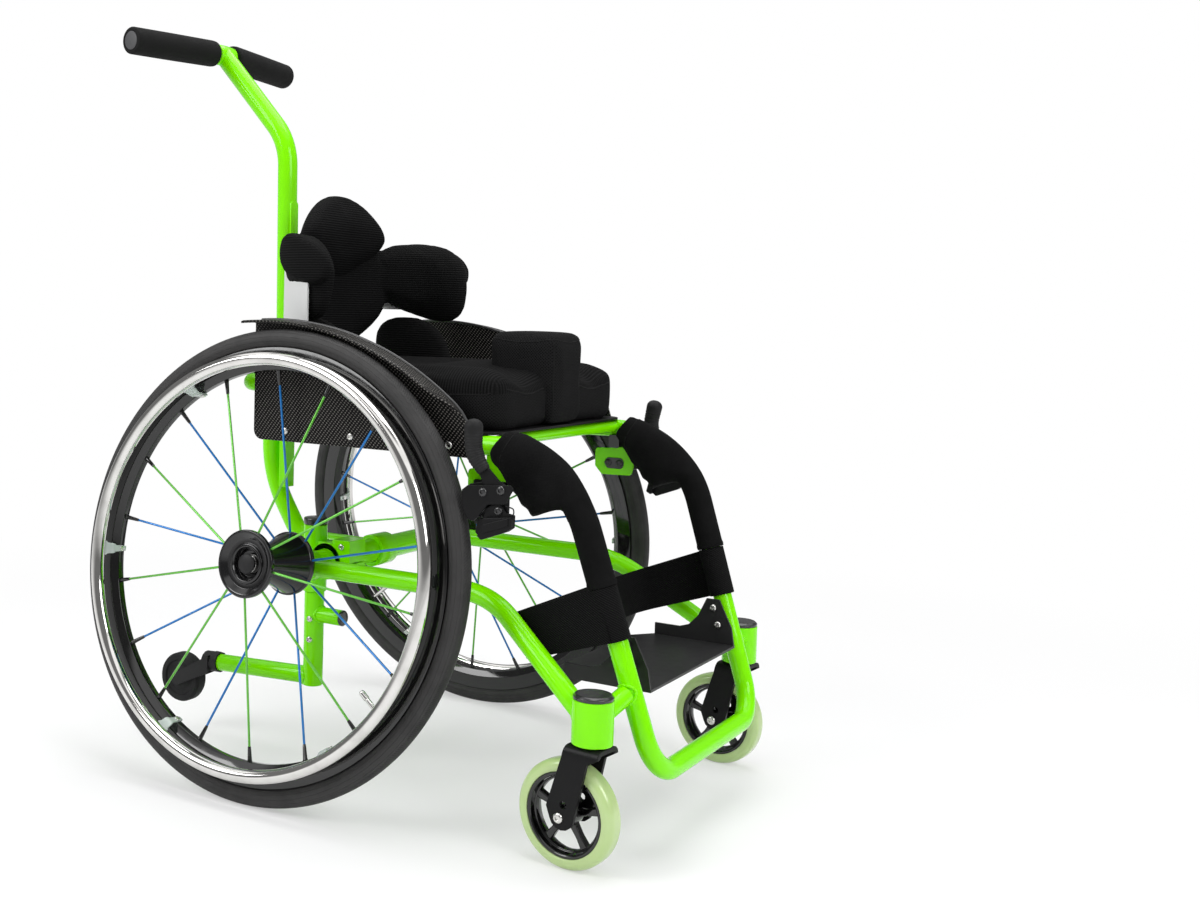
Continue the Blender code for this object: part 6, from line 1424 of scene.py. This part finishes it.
for name, side in SIDES.items():
    bracket = [
        plate(foot_outline, TAB_FACE, TAB_FACE + 0.004, standing(side)),
        plate(arm_outline, TAB_FACE + 0.0035, PLATE_OUT - 0.0035, standing(side)),
        plate(carrier_outline, PLATE_OUT - 0.004, PLATE_OUT, standing(side)),
        plate(cheek_outline, CHEEK_IN, CHEEK_OUT, standing(side)),
    ]
    for x, z in ((0.2868, 0.3795), (0.3115, 0.3855)):
        post = [(x, side * (PLATE_OUT - 0.001), z), (x, side * (CHEEK_IN + 0.0003), z)]
        bracket.append(bar(post, 0.0030, (0, 0, 1), 0.0004, 16))
    piece(name + "_bracket", bracket, "frame", satin, [name + "_brake_bracket"], bevel=0.0007)
    shoe = [
        plate(shoe_outline, PLATE_OUT + 0.0003, PLATE_OUT + 0.0043, standing(side)),
        plate(wedge_outline, PLATE_OUT + 0.0038, PLATE_OUT + 0.0108, standing(side)),
        plate(rib_outline, PLATE_OUT + 0.0100, PLATE_OUT + 0.0120, standing(side)),
        plate(pad_outline, PLATE_OUT - 0.0075, PLATE_OUT + 0.0041, standing(side)),
    ]
    body = name + "_brake_shoe"
    piece(name + "_shoe", shoe, body, satin, [name + "_brake_shoe"], bevel=0.0009)
    wire = bent([(x, side * (PLATE_OUT + SPRING_Y), z) for x, z in spring_corners], [0.003, 0.003], 5)
    piece(name + "_brake_spring", [bar(wire, 0.0007, (0, 1, 0), 0.0003, 10)], body, satin)
    pivot_place = (SHOE_PIVOT[0] - 0.0010, side * (PLATE_OUT + 0.0043), SHOE_PIVOT[2])
    pivot_screw = dome_screw(0.0050, 0.0028, facing(side), pivot_place, BRAKE_SCREW_DRIVE)

    y = side * (PLATE_OUT + 0.0003 + BAR_HALF)
    lean = 0.012 * (side > 0)
    lever_knee = np.array((0.2712 + lean * 0.3, 0, 0.4215))
    lever_top = np.array((0.2705 + lean, 0, 0.455))
    along = unit(lever_knee - LEVER_PIVOT)
    over = np.array((along[2], 0, -along[0]))
    base = LEVER_PIVOT + (0, y, 0)
    blade_turn = np.radians(np.linspace(210, 380, 18))
    blade_outline = np.vstack([
        0.0100 * np.stack([np.cos(blade_turn), np.sin(blade_turn)], -1),
        [(along * 0.030 + over * 0.0050)[[0, 2]], (along * 0.030 - over * 0.0050)[[0, 2]]],
    ])
    blade = plate(blade_outline, -BAR_HALF, BAR_HALF, standing(), base)
    body = name + "_brake_lever"
    piece(name + "_lever_blade", [blade], body, satin, bevel=0.0007)
    grip_path = bent([base + along * 0.020, lever_knee + (0, y, 0), lever_top + (0, y, 0.004)], [0.035], 16)
    grip_path = evened(grip_path, 90)
    share = np.linspace(0, 1, 90)
    crown_round = np.sqrt(np.clip(1 - np.clip((share - 0.84) / 0.16, 0, 1) ** 2.2, 0, 1))
    girths = [0.0060, 0.0073, 0.0084, 0.0094, 0.0096, 0.0102]
    radii = np.interp(share, [0, 0.04, 0.2, 0.32, 0.6, 0.85], girths) * crown_round
    wrinkles = np.sin(share * 118) + 0.6 * np.sin(share * 71 + 1.3)
    radii += 0.00028 * np.tanh(1.6 * wrinkles) * smooth(share, 0.02, 0.08) * (1 - smooth(share, 0.66, 0.80))
    radii[0] = 0
    grip = carried(grip_path, circle(1, 32)[None] * radii[:, None, None], (0, 1, 0))
    piece(name + "_lever_grip", [grip], body, lever_rubber, [name + "_brake_lever"])

    heads = []
    for x, z in ((0.2868, 0.3828), (0.3080, 0.3862)):
        heads.append(dome_screw(0.0050, 0.0028, facing(side), (x, side * CHEEK_OUT, z), BRAKE_SCREW_DRIVE))
    for x in (0.246, 0.258):
        place = (x, side * (TAB_FACE + 0.004), 0.3755)
        heads.append(dome_screw(0.0046, 0.0026, facing(side), place, BRAKE_SCREW_DRIVE))
    for x in (0.2476, 0.2633):
        heads.append(dome_screw(0.0048, 0.0026, facing(-side), (x, side * (RAIL_Y - 0.0031), 0.3794)))
    piece(name + "_brake_bolts", heads, "frame", cap_plastic)
    piece(name + "_shoe_screw", [pivot_screw], name + "_brake_shoe", cap_plastic)

# Anti-tipper
# A lime socket clamps round the camber tube on the right. The tube in it swings out of the way, and ends
# in a black plastic fork with a small rubber wheel.
TIP_X = -0.028
TIP_Y = -0.100
ARM_HEIGHT = 0.108
ARM_TUBE = 0.011
UPRIGHT_TUBE = 0.0125
STUB_HEIGHT = 0.187
STUB_TUBE = 0.0098
TIP_HALF_WIDTH = 0.0099
TIP_RADIUS = 0.0325
arm_start = np.array((TIP_X, TIP_Y, ARM_HEIGHT))
arm_end = np.array((-0.192, TIP_Y, 0.100))
tip_ring = tube_ring(AXLE_TUBE + BORE_GAP, 0.0230, -0.017, 0.017, 0.001, 56, facing(1),
                     (0, TIP_Y, AXLE_HEIGHT))
tip_sleeve = tube_ring(0.0104, 0.0148, 0.2165, 0.300, 0.0006, 48, origin=(TIP_X, TIP_Y, 0))
piece("tipper_socket_tubes", [tip_ring, tip_sleeve], "frame", paint)
dressed("antitip_socket", "frame", paint, "tipper_socket", 0.0008)


def upright_bar(low, high, radius, edge=0.001):
    """Part of the anti-tipper's upright tube, between two heights."""
    return bar([(TIP_X, TIP_Y, low), (TIP_X, TIP_Y, high)], radius, (1, 0, 0), edge)


arm_way = unit(arm_end - arm_start)
tipper = [
    upright_bar(ARM_HEIGHT - 0.011, 0.2162, UPRIGHT_TUBE),
    upright_bar(0.212, 0.302, 0.0097),
    bar([arm_start, arm_end], ARM_TUBE, (0, 1, 0)),
    bar([(TIP_X, TIP_Y, STUB_HEIGHT), (TIP_X + 0.043, TIP_Y, STUB_HEIGHT)], STUB_TUBE, (0, 1, 0)),
    weld((-0.075, TIP_Y, ARM_HEIGHT - 0.0023), -arm_way, ARM_TUBE, (TIP_X, TIP_Y, 0), (0, 0, 1),
         UPRIGHT_TUBE),
    weld((0.010, TIP_Y, STUB_HEIGHT), (-1, 0, 0), STUB_TUBE, (TIP_X, TIP_Y, 0), (0, 0, 1), UPRIGHT_TUBE),
]
piece("tipper_tube", tipper, "antitip_arm", paint, ["antitip_tube"])
screw_sets = {"tipper_screws": ("antitip_arm", TIP_X + 0.002, TIP_Y - 0.0122, (0.1823, 0.1562)),
              "clamp_screws": ("frame", 0.0235, TIP_Y - 0.0172, (0.279, 0.247))}
for label, (body, x, y, heights) in screw_sets.items():
    screws = [dome_screw(0.0040, 0.0022, facing(-1), (x, y, height)) for height in heights]
    piece(label, screws, body, screw_steel)
stub_corners = [(0, 0), (STUB_TUBE, 0), (STUB_TUBE, 0.002), (0.0085, 0.0032), (0, 0.0036)]
stub_cap = turning(stub_corners, [0.0003, 0.0008, 0.001], 3, 32, [(0, 1, 0), (0, 0, 1), (1, 0, 0)],
                   (TIP_X + 0.0431, TIP_Y, STUB_HEIGHT))
top_cap = upright_bar(0.3003, 0.3090, 0.0154, 0.002)
piece("tipper_caps", [top_cap, stub_cap], "antitip_arm", cap_plastic)
dressed("antitip_fork", "antitip_arm", soft_plastic, "tipper_fork", 0.0008)
tip_wheel = bent([(0.0035, 0), (0.0035, -TIP_HALF_WIDTH), (0.0110, -TIP_HALF_WIDTH), (0.0170, -0.0070),
                  (0.0225, -0.0075), (0.0240, -TIP_HALF_WIDTH), (0.0305, -TIP_HALF_WIDTH),
                  (TIP_RADIUS, -0.0060), (TIP_RADIUS, 0)],
                 [0.0004, 0.0010, 0.0020, 0.0010, 0.0006, 0.0020, 0.0030], 5)
tip_wheel = turned(np.vstack([tip_wheel, tip_wheel[::-1] * (1, -1)]), 64)
piece("tipper_wheel", [put(tip_wheel, facing(-1), (-0.243, TIP_Y, 0.0715))], "antitip_wheel", lever_rubber,
      ["antitip_wheel"])
